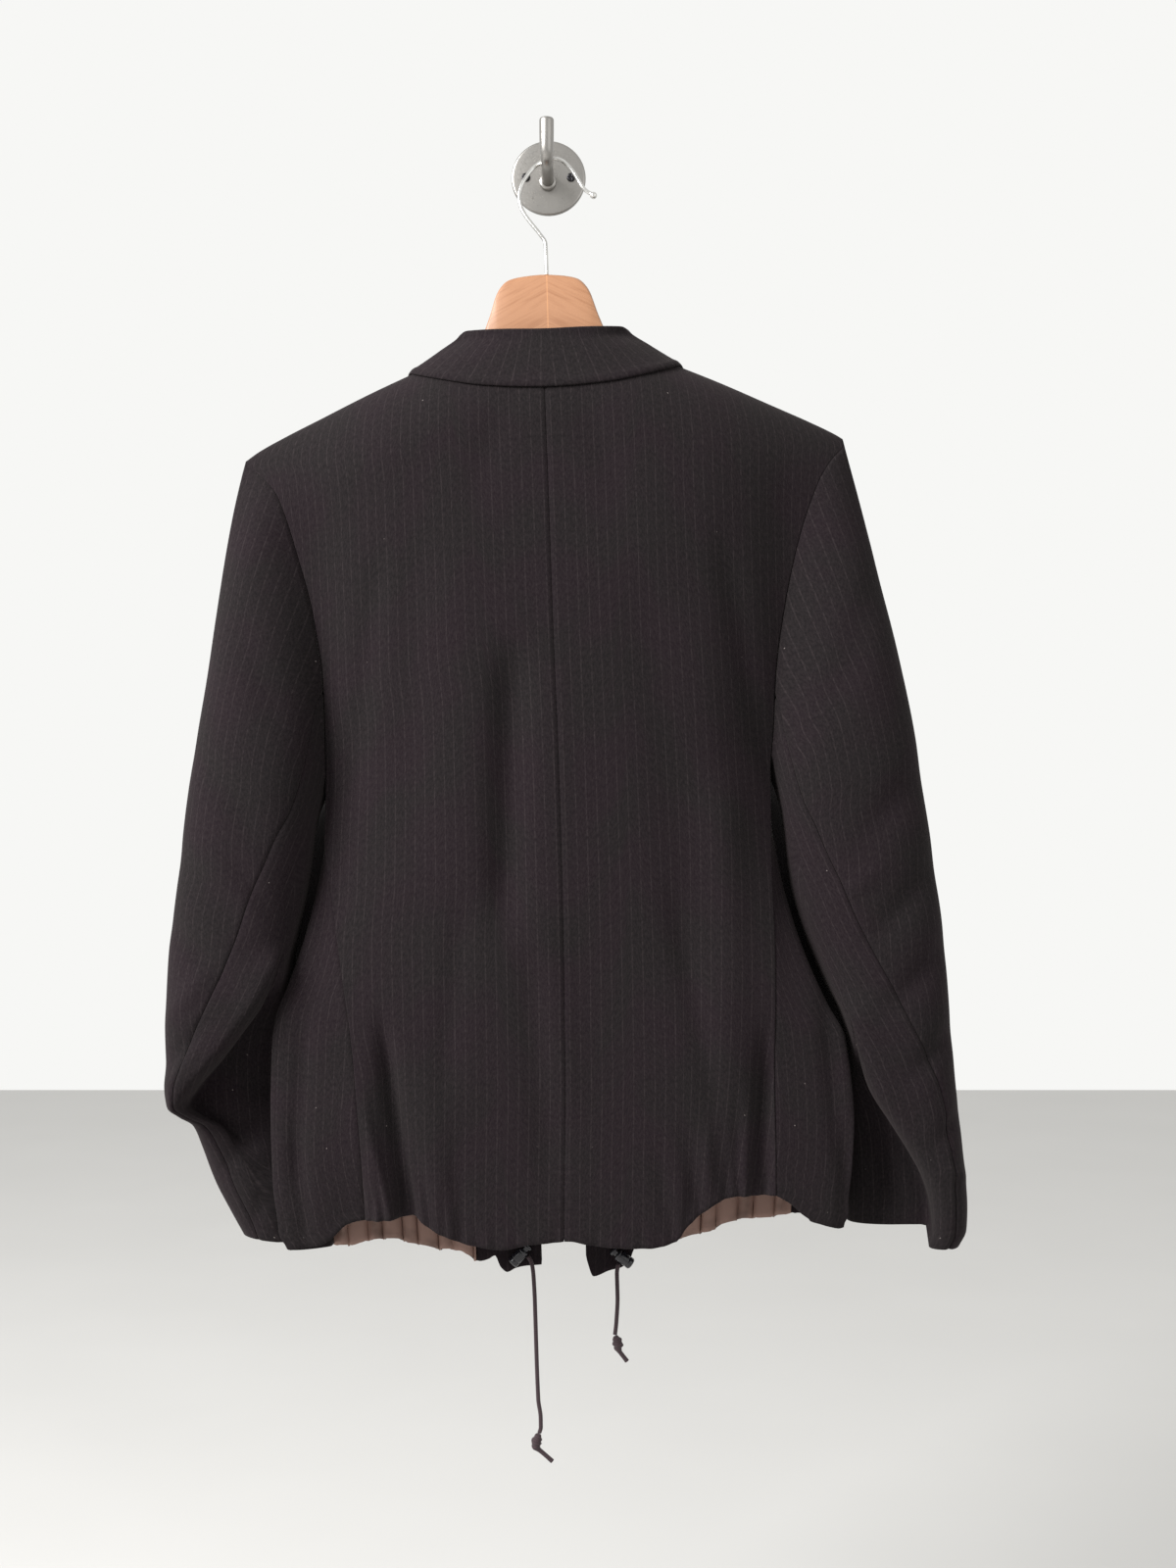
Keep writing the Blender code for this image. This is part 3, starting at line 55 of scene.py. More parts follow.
MM = 0.001
ROLL = math.radians(1.7)
CENTRE = -6.0
SHOULDER_ROUND = 70.0
SEAM_GAP = 0.18
ARMHOLE_SHARE = 0.4237
# Columns: distance from the centre, height of the shoulder line
RIDGE = [
    (0.0, -139.0), (30.0, -141.0), (50.0, -144.0), (68.0, -148.5), (102.0, -163.5),
    (132.0, -176.8), (169.0, -194.5), (198.5, -208.8), (216.0, -218.2), (225.0, -224.5),
]
# Columns: distance from the centre, height of the back's top edge, then the shoulder line
BACK_TOP = [
    (0.0, -166.0), (25.0, -163.5), (45.0, -157.5), (60.0, -151.5), *RIDGE[3:],
]
# Columns: distance from the centre, height of the front's top edge, then the shoulder line
FRONT_TOP = [
    (20.0, -236.0), (30.0, -229.0), (40.0, -213.0), (50.0, -193.5), (60.0, -170.5),
    *RIDGE[3:],
]
# Columns: height, centre-back seam x, left armhole and side seam, right ones
BACK_EDGE = [
    (-140.0, -6.0, 225.0, 225.0), (-191.0, -6.0, 225.0, 225.0), (-224.5, -5.8, 225.0, 221.0),
    (-240.0, -5.6, 211.0, 209.0), (-254.0, -5.5, 200.0, 200.0), (-296.0, -5.3, 187.0, 184.0),
    (-346.0, -5.1, 176.0, 172.0), (-396.0, -4.6, 171.0, 164.0), (-439.0, -4.0, 171.5, 161.0),
    (-462.0, -3.9, 172.0, 158.5), (-489.0, -3.8, 173.0, 157.5), (-511.0, -3.8, 174.0, 157.0),
    (-547.0, -3.9, 169.0, 156.0), (-586.0, -4.2, 164.0, 156.0), (-619.0, -4.6, 159.5, 155.0),
    (-647.0, -5.2, 156.0, 154.0), (-684.0, -5.8, 153.0, 152.0), (-750.0, -8.5, 150.0, 151.0),
    (-820.0, -11.0, 149.0, 150.0),
]
# Columns: height, then the back's depth at each distance in BACK_AT
BACK_AT = (0.0, 60.0, 110.0, 145.0, 175.0, 205.0, 222.0)
BACK_DEPTH = [
    (-150.0, -110.0, -110.0, -109.0, -104.0, -98.0, -90.0, -84.0),
    (-225.0, -112.0, -112.0, -110.0, -104.0, -96.0, -88.0, -82.0),
    (-300.0, -113.0, -113.0, -108.0, -98.0, -86.0, -80.0, -76.0),
    (-400.0, -113.0, -112.0, -105.0, -91.0, -76.0, -70.0, -66.0),
    (-460.0, -112.0, -111.0, -103.0, -88.0, -72.0, -64.0, -60.0),
    (-520.0, -111.0, -110.0, -104.0, -92.0, -78.0, -70.0, -66.0),
    (-580.0, -110.0, -109.0, -105.0, -99.0, -90.0, -84.0, -80.0),
    (-640.0, -109.0, -109.0, -107.0, -104.0, -100.0, -95.0, -90.0),
    (-720.0, -108.0, -108.0, -107.0, -105.0, -102.0, -98.0, -93.0),
    (-820.0, -107.0, -107.0, -106.0, -104.0, -101.0, -98.0, -93.0),
]
FRONT_AT = (0.0, 60.0, 120.0, 160.0, 190.0, 222.0)
FRONT_DEPTH = [
    (-150.0, -15.0, -15.0, -17.0, -22.0, -30.0, -38.0),
    (-225.0, -15.0, -15.0, -17.0, -22.0, -30.0, -38.0),
    (-400.0, -13.0, -13.0, -14.0, -18.0, -24.0, -30.0),
    (-460.0, -13.0, -13.0, -14.0, -17.0, -21.0, -25.0),
    (-600.0, -13.0, -13.0, -14.0, -15.0, -17.0, -20.0),
    (-820.0, -16.0, -16.0, -16.0, -16.0, -17.0, -19.0),
]
# Columns: height, side edge left and right, its depth, mid side left and right
SIDE_EDGE = [
    (-440.0, 170.5, 156.0, -58.0, 169.0, 154.5), (-462.0, 170.5, 156.0, -56.0, 169.0, 154.5),
    (-489.0, 171.5, 156.0, -60.0, 169.0, 154.5), (-514.0, 174.5, 159.5, -66.0, 169.5, 156.0),
    (-546.0, 181.0, 164.0, -73.0, 172.0, 159.0), (-581.0, 190.0, 172.0, -82.0, 177.0, 164.0),
    (-613.0, 201.5, 182.5, -88.0, 182.0, 171.0), (-640.0, 212.0, 194.0, -92.0, 186.0, 178.0),
    (-665.0, 215.0, 206.0, -94.0, 188.0, 184.0), (-723.0, 217.0, 210.5, -95.0, 189.0, 187.0),
    (-760.0, 216.6, 208.0, -95.0, 189.0, 187.0), (-789.0, 213.8, 204.5, -95.0, 188.0, 186.0),
    (-815.0, 212.3, 207.0, -95.0, 187.0, 186.0),
]
SIDE_MID_DEPTH = -52.0
SIDE_HEM_REACH = 205.0
# Columns: height, front edge x left and right, front side seam left and right
FRONT_EDGE = [
    (-140.0, -34.0, 19.0, 225.0, 225.0), (-224.5, -34.0, 19.0, 225.0, 222.0),
    (-240.0, -34.0, 18.0, 213.0, 210.0), (-260.0, -34.0, 17.0, 203.0, 199.0),
    (-300.0, -34.0, 15.0, 192.0, 186.0), (-350.0, -33.5, 14.0, 183.5, 175.0),
    (-400.0, -33.0, 13.0, 178.0, 167.5), (-440.0, -33.0, 12.0, 176.0, 166.0),
    (-478.0, -33.0, 11.0, 180.0, 170.0), (-498.0, -32.8, 10.6, 190.5, 177.0),
    (-540.0, -32.5, 10.0, 203.0, 190.0),
    (-590.0, -32.2, 9.5, 215.0, 207.0), (-640.0, -32.0, 8.5, 215.0, 216.0),
    (-700.0, -31.0, 7.0, 202.0, 214.0), (-760.0, -30.5, 6.0, 190.0, 196.0),
    (-853.0, -30.0, 4.0, 183.0, 184.0),
]
# Columns: x, height of the back's hem
BACK_HEM = [
    (-228.0, -805.0), (-211.0, -807.0), (-203.0, -808.0), (-193.0, -807.0), (-180.0, -804.5),
    (-173.0, -798.0), (-167.0, -790.5), (-159.0, -787.5), (-144.0, -786.5), (-133.0, -785.5),
    (-121.0, -784.5), (-113.0, -789.5), (-102.0, -797.0), (-92.0, -801.0), (-84.0, -804.5),
    (-68.0, -808.3), (-57.0, -810.0), (-47.0, -809.0), (-36.0, -806.8), (-22.0, -806.0),
    (-7.0, -805.0), (7.0, -808.0), (35.0, -811.6), (53.0, -812.0), (71.0, -808.0),
    (80.0, -797.0), (95.0, -785.0), (105.0, -779.5), (114.0, -777.0), (133.0, -777.5),
    (144.0, -777.0), (151.0, -780.5), (157.0, -785.5), (162.0, -791.5), (170.0, -798.0),
    (180.0, -802.0), (190.0, -804.0), (206.0, -803.0),
]
# Columns: x, height of the front's hem
FRONT_HEM = [
    (-200.0, -818.0), (-187.0, -823.5), (-176.0, -823.0), (-165.0, -820.5), (-145.0, -820.5),
    (-126.0, -823.6), (-116.0, -826.5), (-108.0, -830.0), (-93.0, -830.5), (-84.0, -836.0),
    (-78.0, -839.0), (-71.0, -837.5), (-66.0, -835.0), (-62.0, -844.0), (-57.0, -848.0),
    (-50.0, -845.0), (-42.0, -843.6), (-30.0, -843.0), (2.5, -829.0), (5.0, -841.0),
    (10.0, -853.4), (23.0, -849.0), (32.0, -847.0), (38.0, -842.0), (44.0, -829.5),
    (74.0, -828.0), (86.0, -823.5), (100.0, -820.5), (115.0, -815.5), (132.0, -812.0),
    (150.5, -810.5), (168.0, -809.5), (185.0, -811.0),
]
# Columns: start x, start z, end x, end z, half width, depth toward the wall
BACK_FOLDS = [
    (-34.0, -385.0, -46.0, -560.0, 15.0, 4.0),
    (-20.0, -560.0, -8.0, -700.0, 16.0, -2.5),
    (-178.5, -655.0, -158.0, -800.0, 9.0, 6.0),
    (-139.0, -660.0, -122.0, -800.0, 9.0, 5.0),
    (-160.0, -690.0, -140.0, -800.0, 10.0, -4.0),
    (-105.0, -690.0, -98.0, -810.0, 13.0, -3.0),
    (82.0, -735.0, 90.0, -800.0, 7.0, 3.5),
    (106.0, -740.0, 107.0, -790.0, 7.0, 3.5),
    (140.0, -670.0, 133.0, -790.0, 9.0, 5.0),
    (165.0, -680.0, 172.0, -800.0, 10.0, -4.0),
    (60.0, -330.0, 96.0, -620.0, 22.0, 3.0),
    (118.0, -480.0, 112.0, -690.0, 18.0, -4.0),
    (-104.0, -300.0, -120.0, -520.0, 20.0, 3.0),
]
SHOULDER = {"left": 225.0, "right": 220.0}
SIDE_KNOTS = (0.0, 0.45, 0.78, 1.0)
# Distances from the centre of the front's columns at the hem: facing, then gathers
GATHERS = {"left": (24.0, 32.0, 41.0, 53.0, 68.0), "right": (10.0, 18.0, 27.0, 37.0, 47.0)}
GATHER_START = {"left": 75.0, "right": 52.0}
GATHER_END = {"left": 179.0, "right": 158.0}
GATHER_COLUMNS = {"left": 17, "right": 17}
PLAIN_END = {"left": (), "right": (167.0, 176.0)}
# Sleeve rings. Columns: outer z and x, inner z and x, outer and inner mid depth,
# back face, front face, share of the armhole's shape, seam's place across, fold's
# place across, and the step behind the fold
SLEEVES = {
    "left": [
        (-262.0, -242.0, -469.0, -180.0, -68.0, -60.0, -106.0, -36.0, 0.74, 0.80, 0.93, 0.0),
        (-305.0, -251.5, -475.0, -181.0, -70.0, -62.0, -112.0, -32.0, 0.46, 0.84, 0.93, 0.0),
        (-350.0, -258.5, -481.0, -182.0, -72.0, -64.0, -115.0, -30.0, 0.22, 0.86, 0.93, 0.0),
        (-400.0, -266.0, -488.0, -184.0, -73.0, -66.0, -116.0, -29.0, 0.08, 0.86, 0.93, 0.0),
        (-445.0, -274.5, -496.0, -186.0, -74.0, -68.0, -115.0, -28.0, 0.0, 0.84, 0.93, 0.0),
        (-485.0, -281.5, -511.0, -188.5, -74.0, -70.0, -114.0, -28.0, 0.0, 0.77, 0.93, 0.0),
        (-520.0, -286.5, -530.0, -191.5, -74.0, -70.0, -114.0, -28.0, 0.0, 0.70, 0.93, 0.0),
        (-550.0, -291.0, -552.0, -196.0, -74.0, -68.0, -114.0, -28.0, 0.0, 0.63, 0.93, 0.0),
        (-580.0, -296.0, -578.0, -202.5, -74.0, -64.0, -114.0, -27.0, 0.0, 0.585, 0.95, 4.0),
        (-605.0, -298.5, -600.0, -207.5, -74.0, -55.0, -114.0, -26.0, 0.0, 0.50, 0.93, 16.0),
        (-628.0, -300.0, -625.0, -208.0, -74.0, -47.0, -114.0, -25.0, 0.0, 0.38, 0.81, 32.0),
        (-650.0, -301.0, -648.0, -208.0, -74.0, -46.0, -113.0, -24.0, 0.0, 0.26, 0.63, 42.0),
        (-670.0, -301.3, -670.0, -208.0, -73.0, -46.0, -112.0, -23.0, 0.0, 0.17, 0.45, 46.0),
        (-688.0, -302.5, -690.0, -208.0, -71.0, -45.0, -109.0, -22.0, 0.0, 0.12, 0.28, 44.0),
        (-701.0, -301.5, -704.0, -208.0, -66.0, -45.0, -103.0, -21.0, 0.0, 0.10, 0.19, 36.0),
        (-710.0, -297.0, -713.0, -208.0, -56.0, -44.0, -90.0, -20.0, 0.0, 0.12, 0.23, 24.0),
        (-720.0, -288.0, -724.0, -208.0, -50.0, -43.0, -76.0, -19.0, 0.0, 0.17, 0.32, 13.0),
        (-737.0, -282.5, -741.0, -208.0, -47.0, -43.0, -72.0, -18.5, 0.0, 0.22, 0.42, 7.0),
        (-762.0, -274.5, -766.0, -207.5, -46.0, -43.0, -71.0, -18.5, 0.0, 0.26, 0.50, 3.0),
        (-786.0, -263.0, -790.0, -207.0, -46.0, -43.0, -71.0, -19.0, 0.0, 0.30, 0.58, 0.0),
        (-804.0, -253.5, -810.0, -206.0, -46.0, -43.0, -71.0, -19.5, 0.0, 0.30, 0.60, 0.0),
    ],
    "right": [
        (-262.0, 223.0, -469.0, 155.5, -68.0, -60.0, -106.0, -36.0, 0.74, 0.86, 0.94, 0.0),
        (-305.0, 233.0, -475.0, 156.0, -70.0, -62.0, -112.0, -32.0, 0.46, 0.88, 0.94, 0.0),
        (-350.0, 242.5, -481.0, 157.0, -72.0, -64.0, -115.0, -30.0, 0.22, 0.885, 0.94, 0.0),
        (-400.0, 253.0, -489.0, 158.5, -73.0, -66.0, -116.0, -29.0, 0.08, 0.885, 0.94, 0.0),
        (-445.0, 260.0, -498.0, 160.0, -74.0, -68.0, -115.0, -28.0, 0.0, 0.87, 0.94, 0.0),
        (-485.0, 264.5, -512.0, 161.5, -74.0, -70.0, -114.0, -28.0, 0.0, 0.82, 0.94, 0.0),
        (-520.0, 269.0, -532.0, 163.0, -74.0, -70.0, -114.0, -28.0, 0.0, 0.76, 0.94, 0.0),
        (-550.0, 272.0, -553.0, 165.5, -74.0, -68.0, -114.0, -28.0, 0.0, 0.69, 0.94, 0.0),
        (-580.0, 275.5, -577.0, 171.0, -74.0, -66.0, -114.0, -27.0, 0.0, 0.64, 0.95, 0.0),
        (-605.0, 277.3, -600.0, 178.5, -74.0, -64.0, -114.0, -26.0, 0.0, 0.58, 0.95, 0.0),
        (-630.0, 278.5, -627.0, 189.0, -74.0, -62.0, -114.0, -25.0, 0.0, 0.50, 0.95, 4.0),
        (-655.0, 279.5, -650.0, 199.0, -74.0, -58.0, -114.0, -24.0, 0.0, 0.42, 0.95, 12.0),
        (-680.0, 280.8, -678.0, 204.0, -74.0, -50.0, -114.0, -23.0, 0.0, 0.29, 0.94, 24.0),
        (-703.0, 282.0, -702.0, 203.0, -74.0, -47.0, -114.0, -22.0, 0.0, 0.20, 0.84, 36.0),
        (-727.0, 284.0, -726.0, 203.0, -74.0, -46.0, -113.0, -22.0, 0.0, 0.16, 0.67, 42.0),
        (-750.0, 285.5, -748.0, 203.0, -73.0, -46.0, -112.0, -22.0, 0.0, 0.15, 0.51, 44.0),
        (-772.0, 287.0, -770.0, 203.0, -72.0, -45.0, -110.0, -21.0, 0.0, 0.15, 0.39, 43.0),
        (-792.0, 288.0, -788.0, 203.0, -70.0, -45.0, -107.0, -21.0, 0.0, 0.15, 0.34, 40.0),
        (-810.0, 287.5, -801.0, 203.0, -67.0, -44.0, -102.0, -21.0, 0.0, 0.15, 0.32, 34.0),
        (-822.5, 283.0, -809.0, 203.0, -62.0, -44.0, -94.0, -21.0, 0.0, 0.15, 0.31, 26.0),
    ],
}
FRONT_SEAM = 0.72
POWER = 2.3
ARMHOLE_GAP = 0.4
OVERHANG = 1.5
# Collar stations from the front edge to the centre back. Columns: distance from the
# centre, depth and height of the neckline, then of the fold, then distance and
# height of the fall's edge, then which surface lies below it
COLLAR = [
    (27.0, -16.0, -229.0, 23.0, -12.0, -224.0, 58.0, -258.0, "front"),
    (40.0, -20.0, -211.0, 33.0, -15.5, -204.0, 80.0, -236.0, "front"),
    (54.0, -29.0, -183.0, 46.0, -25.0, -173.0, 97.0, -206.0, "front"),
    (60.0, -35.0, -169.0, 52.0, -33.0, -158.0, 102.0, -195.0, "front"),
    (64.0, -41.0, -158.0, 56.5, -41.0, -146.0, 105.0, -182.0, "front"),
    (66.0, -47.5, -151.0, 59.5, -49.0, -139.5, 105.0, -171.5, "front"),
    (67.0, -54.0, -147.5, 61.0, -57.0, -136.0, 102.0, -163.5, "ridge"),
    (64.5, -61.5, -148.5, 59.5, -65.0, -136.0, 98.5, -166.0, "back"),
    (60.0, -69.0, -150.5, 57.0, -72.0, -136.0, 93.0, -169.0, "back"),
    (45.0, -80.0, -156.5, 46.0, -82.0, -137.5, 74.0, -175.5, "back"),
    (24.0, -87.0, -163.0, 25.0, -89.0, -139.0, 42.0, -182.0, "back"),
    (0.0, -88.5, -165.5, 0.0, -91.0, -140.0, 0.0, -184.5, "back"),
]
COLLAR_CLEAR = {"front": 5.0, "ridge": 3.0, "back": 2.8}
# Hanger sections. Columns: distance from the centre, top height, bottom height,
# half thickness
HANGER = [
    (202.0, -217.5, -229.0, 4.0), (199.0, -213.5, -233.0, 6.0), (185.0, -205.5, -232.5, 6.5),
    (169.0, -197.5, -227.0, 6.5), (132.0, -179.7, -212.0, 6.5), (102.0, -166.4, -200.0, 6.5),
    (80.0, -157.2, -190.0, 6.5), (68.0, -154.0, -184.0, 6.5), (59.0, -151.0, -178.0, 7.0),
    (52.5, -146.0, -175.0, 7.0), (46.5, -134.0, -172.0, 7.5), (41.0, -120.0, -168.0, 8.0),
    (35.5, -103.0, -163.0, 8.0), (32.5, -97.5, -161.0, 8.0), (26.0, -91.5, -158.0, 8.0),
    (14.0, -88.8, -156.0, 8.0), (0.0, -87.8, -155.0, 8.0),
]
# Hook wire, from the neck up over the peg to the ball. Columns: x, height
WIRE = [
    (-3.0, -87.2), (-3.1, -74.0), (-3.4, -62.0), (-7.5, -54.5), (-13.0, -47.0), (-18.6, -38.6),
    (-21.6, -31.3), (-22.4, -23.8), (-20.6, -15.9), (-16.6, -8.6), (-11.7, -2.6), (-5.8, 2.2),
    (0.2, 4.9), (6.2, 5.2), (10.8, 3.6), (15.2, -0.4), (19.2, -5.6), (22.7, -11.6),
    (25.6, -17.4), (28.8, -21.2), (32.4, -23.8),
]
# Peg path in the world frame. Columns: depth, height, radius
PEG = [
    (-5.0, -4.2, 6.6), (-8.0, -4.2, 6.6), (-9.0, -4.1, 4.6), (-20.0, -3.3, 4.6),
    (-32.0, -2.1, 4.6), (-40.0, -0.9, 4.8), (-45.0, 2.0, 5.0), (-48.0, 6.6, 5.2),
    (-49.2, 13.0, 5.4), (-49.8, 22.0, 5.5), (-50.0, 29.0, 5.5), (-50.0, 30.2, 4.8),
]
LOCK_DEPTH = -23.6
LOCKS = {
    "left": ((-52.6, LOCK_DEPTH, -840.4), (0.70, 0.0, 0.714)),
    "right": ((39.4, LOCK_DEPTH, -843.9), (-0.79, 0.0, 0.613)),
}
CORDS = {
    "left": [(-40.35, -23.6, -835.60), (-38.6, -23.6, -837.8), (-36.9, -23.6, -844.0),
             (-36.3, -23.6, -852.0),
             (-35.9, -23.0, -872.0), (-35.9, -22.0, -913.0), (-35.6, -21.5, -946.0),
             (-34.2, -21.0, -960.0), (-34.3, -21.0, -968.0), (-35.5, -21.0, -972.1)],
    "right": [(29.75, -23.6, -843.25), (28.7, -23.6, -845.2), (27.8, -23.6, -851.0),
              (27.8, -23.6, -867.0),
              (26.3, -23.0, -888.0), (25.0, -23.0, -897.6)],
}
KNOTS = {
    "left": [(-35.6, -973.2, 1.7), (-36.4, -974.6, 2.9), (-37.4, -977.2, 4.1),
             (-38.2, -980.2, 4.3), (-38.0, -982.8, 3.6), (-36.8, -984.6, 2.2),
             (-34.8, -986.4, 1.7), (-31.0, -989.8, 1.7), (-26.2, -994.4, 1.8)],
    "right": [(25.0, -898.9, 1.7), (25.6, -900.2, 2.9), (26.4, -902.6, 4.1),
              (27.0, -905.4, 4.3), (27.2, -908.0, 3.5), (27.8, -910.0, 2.2),
              (28.8, -911.8, 1.7), (31.0, -914.8, 1.7), (33.6, -918.4, 1.8)],
}
KNOT_DEPTH = {"left": -21.0, "right": -23.0}

# Listed creases: start x, start z, end x, end z, half width, depth toward the wall
BACK_CREASES = [
    (-182.0, -645.0, -158.5, -800.0, 6.5, 6.1), (-137.0, -650.0, -120.5, -800.0, 6.0, 5.8),
    (140.0, -670.0, 132.0, -795.0, 6.0, 4.4), (-36.0, -380.0, -46.0, -570.0, 13.0, 4.8),
    (-28.0, -600.0, -20.0, -760.0, 12.0, 2.7),
    (-190.0, -690.0, -176.0, -800.0, 4.5, 3.1), (-150.0, -715.0, -133.0, -800.0, 4.0, -2.7),
    (-118.0, -730.0, -104.0, -800.0, 4.5, 2.5), (-88.0, -745.0, -84.0, -812.0, 6.0, 2.0),
    (96.0, -735.0, 98.0, -795.0, 3.5, -2.7), (118.0, -715.0, 116.0, -790.0, 4.5, 2.9),
    (150.0, -700.0, 146.0, -790.0, 4.0, -2.5), (60.0, -745.0, 66.0, -812.0, 6.0, 2.0),
    (120.0, -300.0, 150.0, -470.0, 10.0, 2.7), (-130.0, -300.0, -158.0, -480.0, 10.0, 2.7),
    (20.0, -190.0, 44.0, -260.0, 12.0, 1.4), (-34.0, -190.0, -60.0, -262.0, 12.0, 1.4),
    (78.0, -560.0, 104.0, -720.0, 9.0, 2.5), (-78.0, -560.0, -96.0, -700.0, 10.0, 2.0),
]
FRONT_CREASES = [
    (-90.0, -280.0, -70.0, -520.0, 18.0, 1.7), (80.0, -300.0, 58.0, -560.0, 16.0, 1.4),
    (-150.0, -380.0, -120.0, -640.0, 12.0, 1.9), (140.0, -420.0, 118.0, -660.0, 13.0, 1.8),
    (-60.0, -600.0, -74.0, -760.0, 9.0, 1.6), (66.0, -620.0, 80.0, -770.0, 10.0, 1.4),
    (30.0, -420.0, 40.0, -560.0, 12.0, -1.1), (-46.0, -360.0, -40.0, -500.0, 10.0, -1.1),
]
SIDE_CREASES = [
    (-196.0, -640.0, -205.0, -760.0, 7.0, 3.2), (186.0, -640.0, 194.0, -760.0, 7.0, 3.2),
    (-205.0, -720.0, -199.0, -812.0, 5.0, 2.9), (200.0, -730.0, 193.0, -812.0, 5.0, 2.9),
]
SLEEVE_CREASES = {
    "left": [
        (-270.0, -440.0, -222.0, -500.0, 12.0, 3.1), (-285.0, -520.0, -236.0, -566.0, 11.0, 3.7),
        (-292.0, -570.0, -246.0, -610.0, 9.0, 4.1), (-296.0, -640.0, -262.0, -600.0, 8.0, -2.7),
        (-298.0, -672.0, -268.0, -640.0, 7.0, 3.4), (-240.0, -330.0, -205.0, -420.0, 14.0, 2.0),
        (-215.0, -560.0, -244.0, -520.0, 8.0, 2.7), (-236.0, -716.0, -262.0, -752.0, 8.0, 2.7),
        (-222.0, -740.0, -240.0, -790.0, 7.0, 2.4),
    ],
    "right": [
        (262.0, -470.0, 215.0, -520.0, 12.0, 2.7), (270.0, -540.0, 222.0, -590.0, 11.0, 3.4),
        (276.0, -600.0, 232.0, -640.0, 10.0, 3.7), (282.0, -660.0, 246.0, -690.0, 9.0, 3.4),
        (286.0, -720.0, 262.0, -742.0, 8.0, 3.1), (286.0, -770.0, 268.0, -760.0, 6.0, -2.7),
        (232.0, -330.0, 196.0, -420.0, 14.0, 2.0), (200.0, -560.0, 226.0, -540.0, 8.0, -2.0),
        (214.0, -720.0, 232.0, -770.0, 8.0, 2.7), (226.0, -750.0, 240.0, -800.0, 7.0, 2.4),
    ],
}
# The hem's small puckers: x, height above the hem, half width, depth toward the wall
HEM_PUCKERS = [
    (-208.0, 46.0, 3.2, 2.6), (-199.0, 30.0, 2.8, 2.0), (-188.0, 52.0, 3.4, 2.8),
    (-170.0, 34.0, 3.0, 2.4), (-160.0, 60.0, 3.2, 3.1), (-150.0, 36.0, 2.8, 2.3),
    (-141.0, 54.0, 3.0, 2.7), (-129.0, 40.0, 2.8, 2.4), (-119.0, 48.0, 3.2, 2.7),
    (-108.0, 34.0, 2.8, 2.2), (-98.0, 44.0, 3.0, 2.4), (-87.0, 26.0, 3.0, 1.8),
    (-74.0, 30.0, 3.4, 1.6), (-60.0, 24.0, 3.0, 1.4), (-45.0, 20.0, 3.4, 1.1),
    (-18.0, 18.0, 3.6, 0.9), (12.0, 20.0, 3.6, 1.1), (30.0, 16.0, 3.2, 0.9),
    (46.0, 24.0, 3.2, 1.4), (58.0, 28.0, 3.0, 1.6), (69.0, 36.0, 3.0, 2.0),
    (79.0, 50.0, 3.0, 2.7), (88.0, 38.0, 2.8, 2.4), (98.0, 56.0, 3.2, 3.0),
    (108.0, 42.0, 2.8, 2.4), (118.0, 34.0, 2.8, 2.3), (127.0, 58.0, 3.2, 3.0),
    (137.0, 40.0, 2.8, 2.4), (147.0, 46.0, 3.0, 2.6),
]


class Side(Enum):
    """The two halves of the jacket, as seen in the picture."""

    LEFT = "left"
    RIGHT = "right"

    @property
    def way(self) -> float:
        """Return -1 on the left and +1 on the right."""
        return -1.0 if self is Side.LEFT else 1.0


def limited_slopes(keys: Grid, values: Grid) -> Grid:
    """Find slopes that keep a smooth curve from overshooting its values.

    Args:
        keys: places of the values, rising.
        values: the values, along the last axis.

    Returns:
        One slope for each value.
    """
    steps = np.diff(values, axis=-1) / np.diff(keys)
    slopes = np.zeros(values.shape)
    slopes[..., 0] = steps[..., 0]
    slopes[..., -1] = steps[..., -1]
    before, after = steps[..., :-1], steps[..., 1:]
    same = before * after > 0.0
    total = np.where(same, before + after, 1.0)
    slopes[..., 1:-1] = np.where(same, 2.0 * before * after / total, 0.0)
    return slopes


def follow(keys: Sequence[float], values: Grid, at: Grid) -> Grid:
    """Read smooth curves at some places.

    Args:
        keys: places of the values, rising.
        values: one list of values, or one list for each place in at.
        at: the places to read.

    Returns:
        The curve's value at each place.
    """
    keys = np.asarray(keys, dtype=float)
    values = np.asarray(values, dtype=float)
    at = np.clip(np.asarray(at, dtype=float), keys[0], keys[-1])
    slopes = limited_slopes(keys, values)
    i = np.clip(np.searchsorted(keys, at, side="right") - 1, 0, len(keys) - 2)
    if values.ndim == 1:
        v0, v1, s0, s1 = values[i], values[i + 1], slopes[i], slopes[i + 1]
    else:
        v0 = np.take_along_axis(values, i[..., None], -1)[..., 0]
        v1 = np.take_along_axis(values, i[..., None] + 1, -1)[..., 0]
        s0 = np.take_along_axis(slopes, i[..., None], -1)[..., 0]
        s1 = np.take_along_axis(slopes, i[..., None] + 1, -1)[..., 0]
    width = keys[i + 1] - keys[i]
    t = (at - keys[i]) / width
    lean = t * (1.0 - t) * width * ((1.0 - t) * s0 - t * s1)
    return (1.0 + 2.0 * t) * (1.0 - t) ** 2 * v0 + t * t * (3.0 - 2.0 * t) * v1 + lean


def column_of(table: Rows, at: Grid, column: int = 1) -> Grid:
    """Read one column of a table on a smooth curve through its rows.

    Args:
        table: rows that start with their key.
        at: the keys to read.
        column: which column.

    Returns:
        The column's value at each key.
    """
    rows = sorted((row[0], row[column]) for row in table)
    return follow([row[0] for row in rows], np.array([row[1] for row in rows]), at)


def depth_of(table: Rows, places: Sequence[float], z: Grid, distance: Grid) -> Grid:
    """Read a depth from a table of heights against distances from the centre."""
    z = np.asarray(z, dtype=float)
    values = np.stack([column_of(table, z, i + 1) for i in range(len(places))], axis=-1)
    return follow(places, values, np.broadcast_to(distance, z.shape))


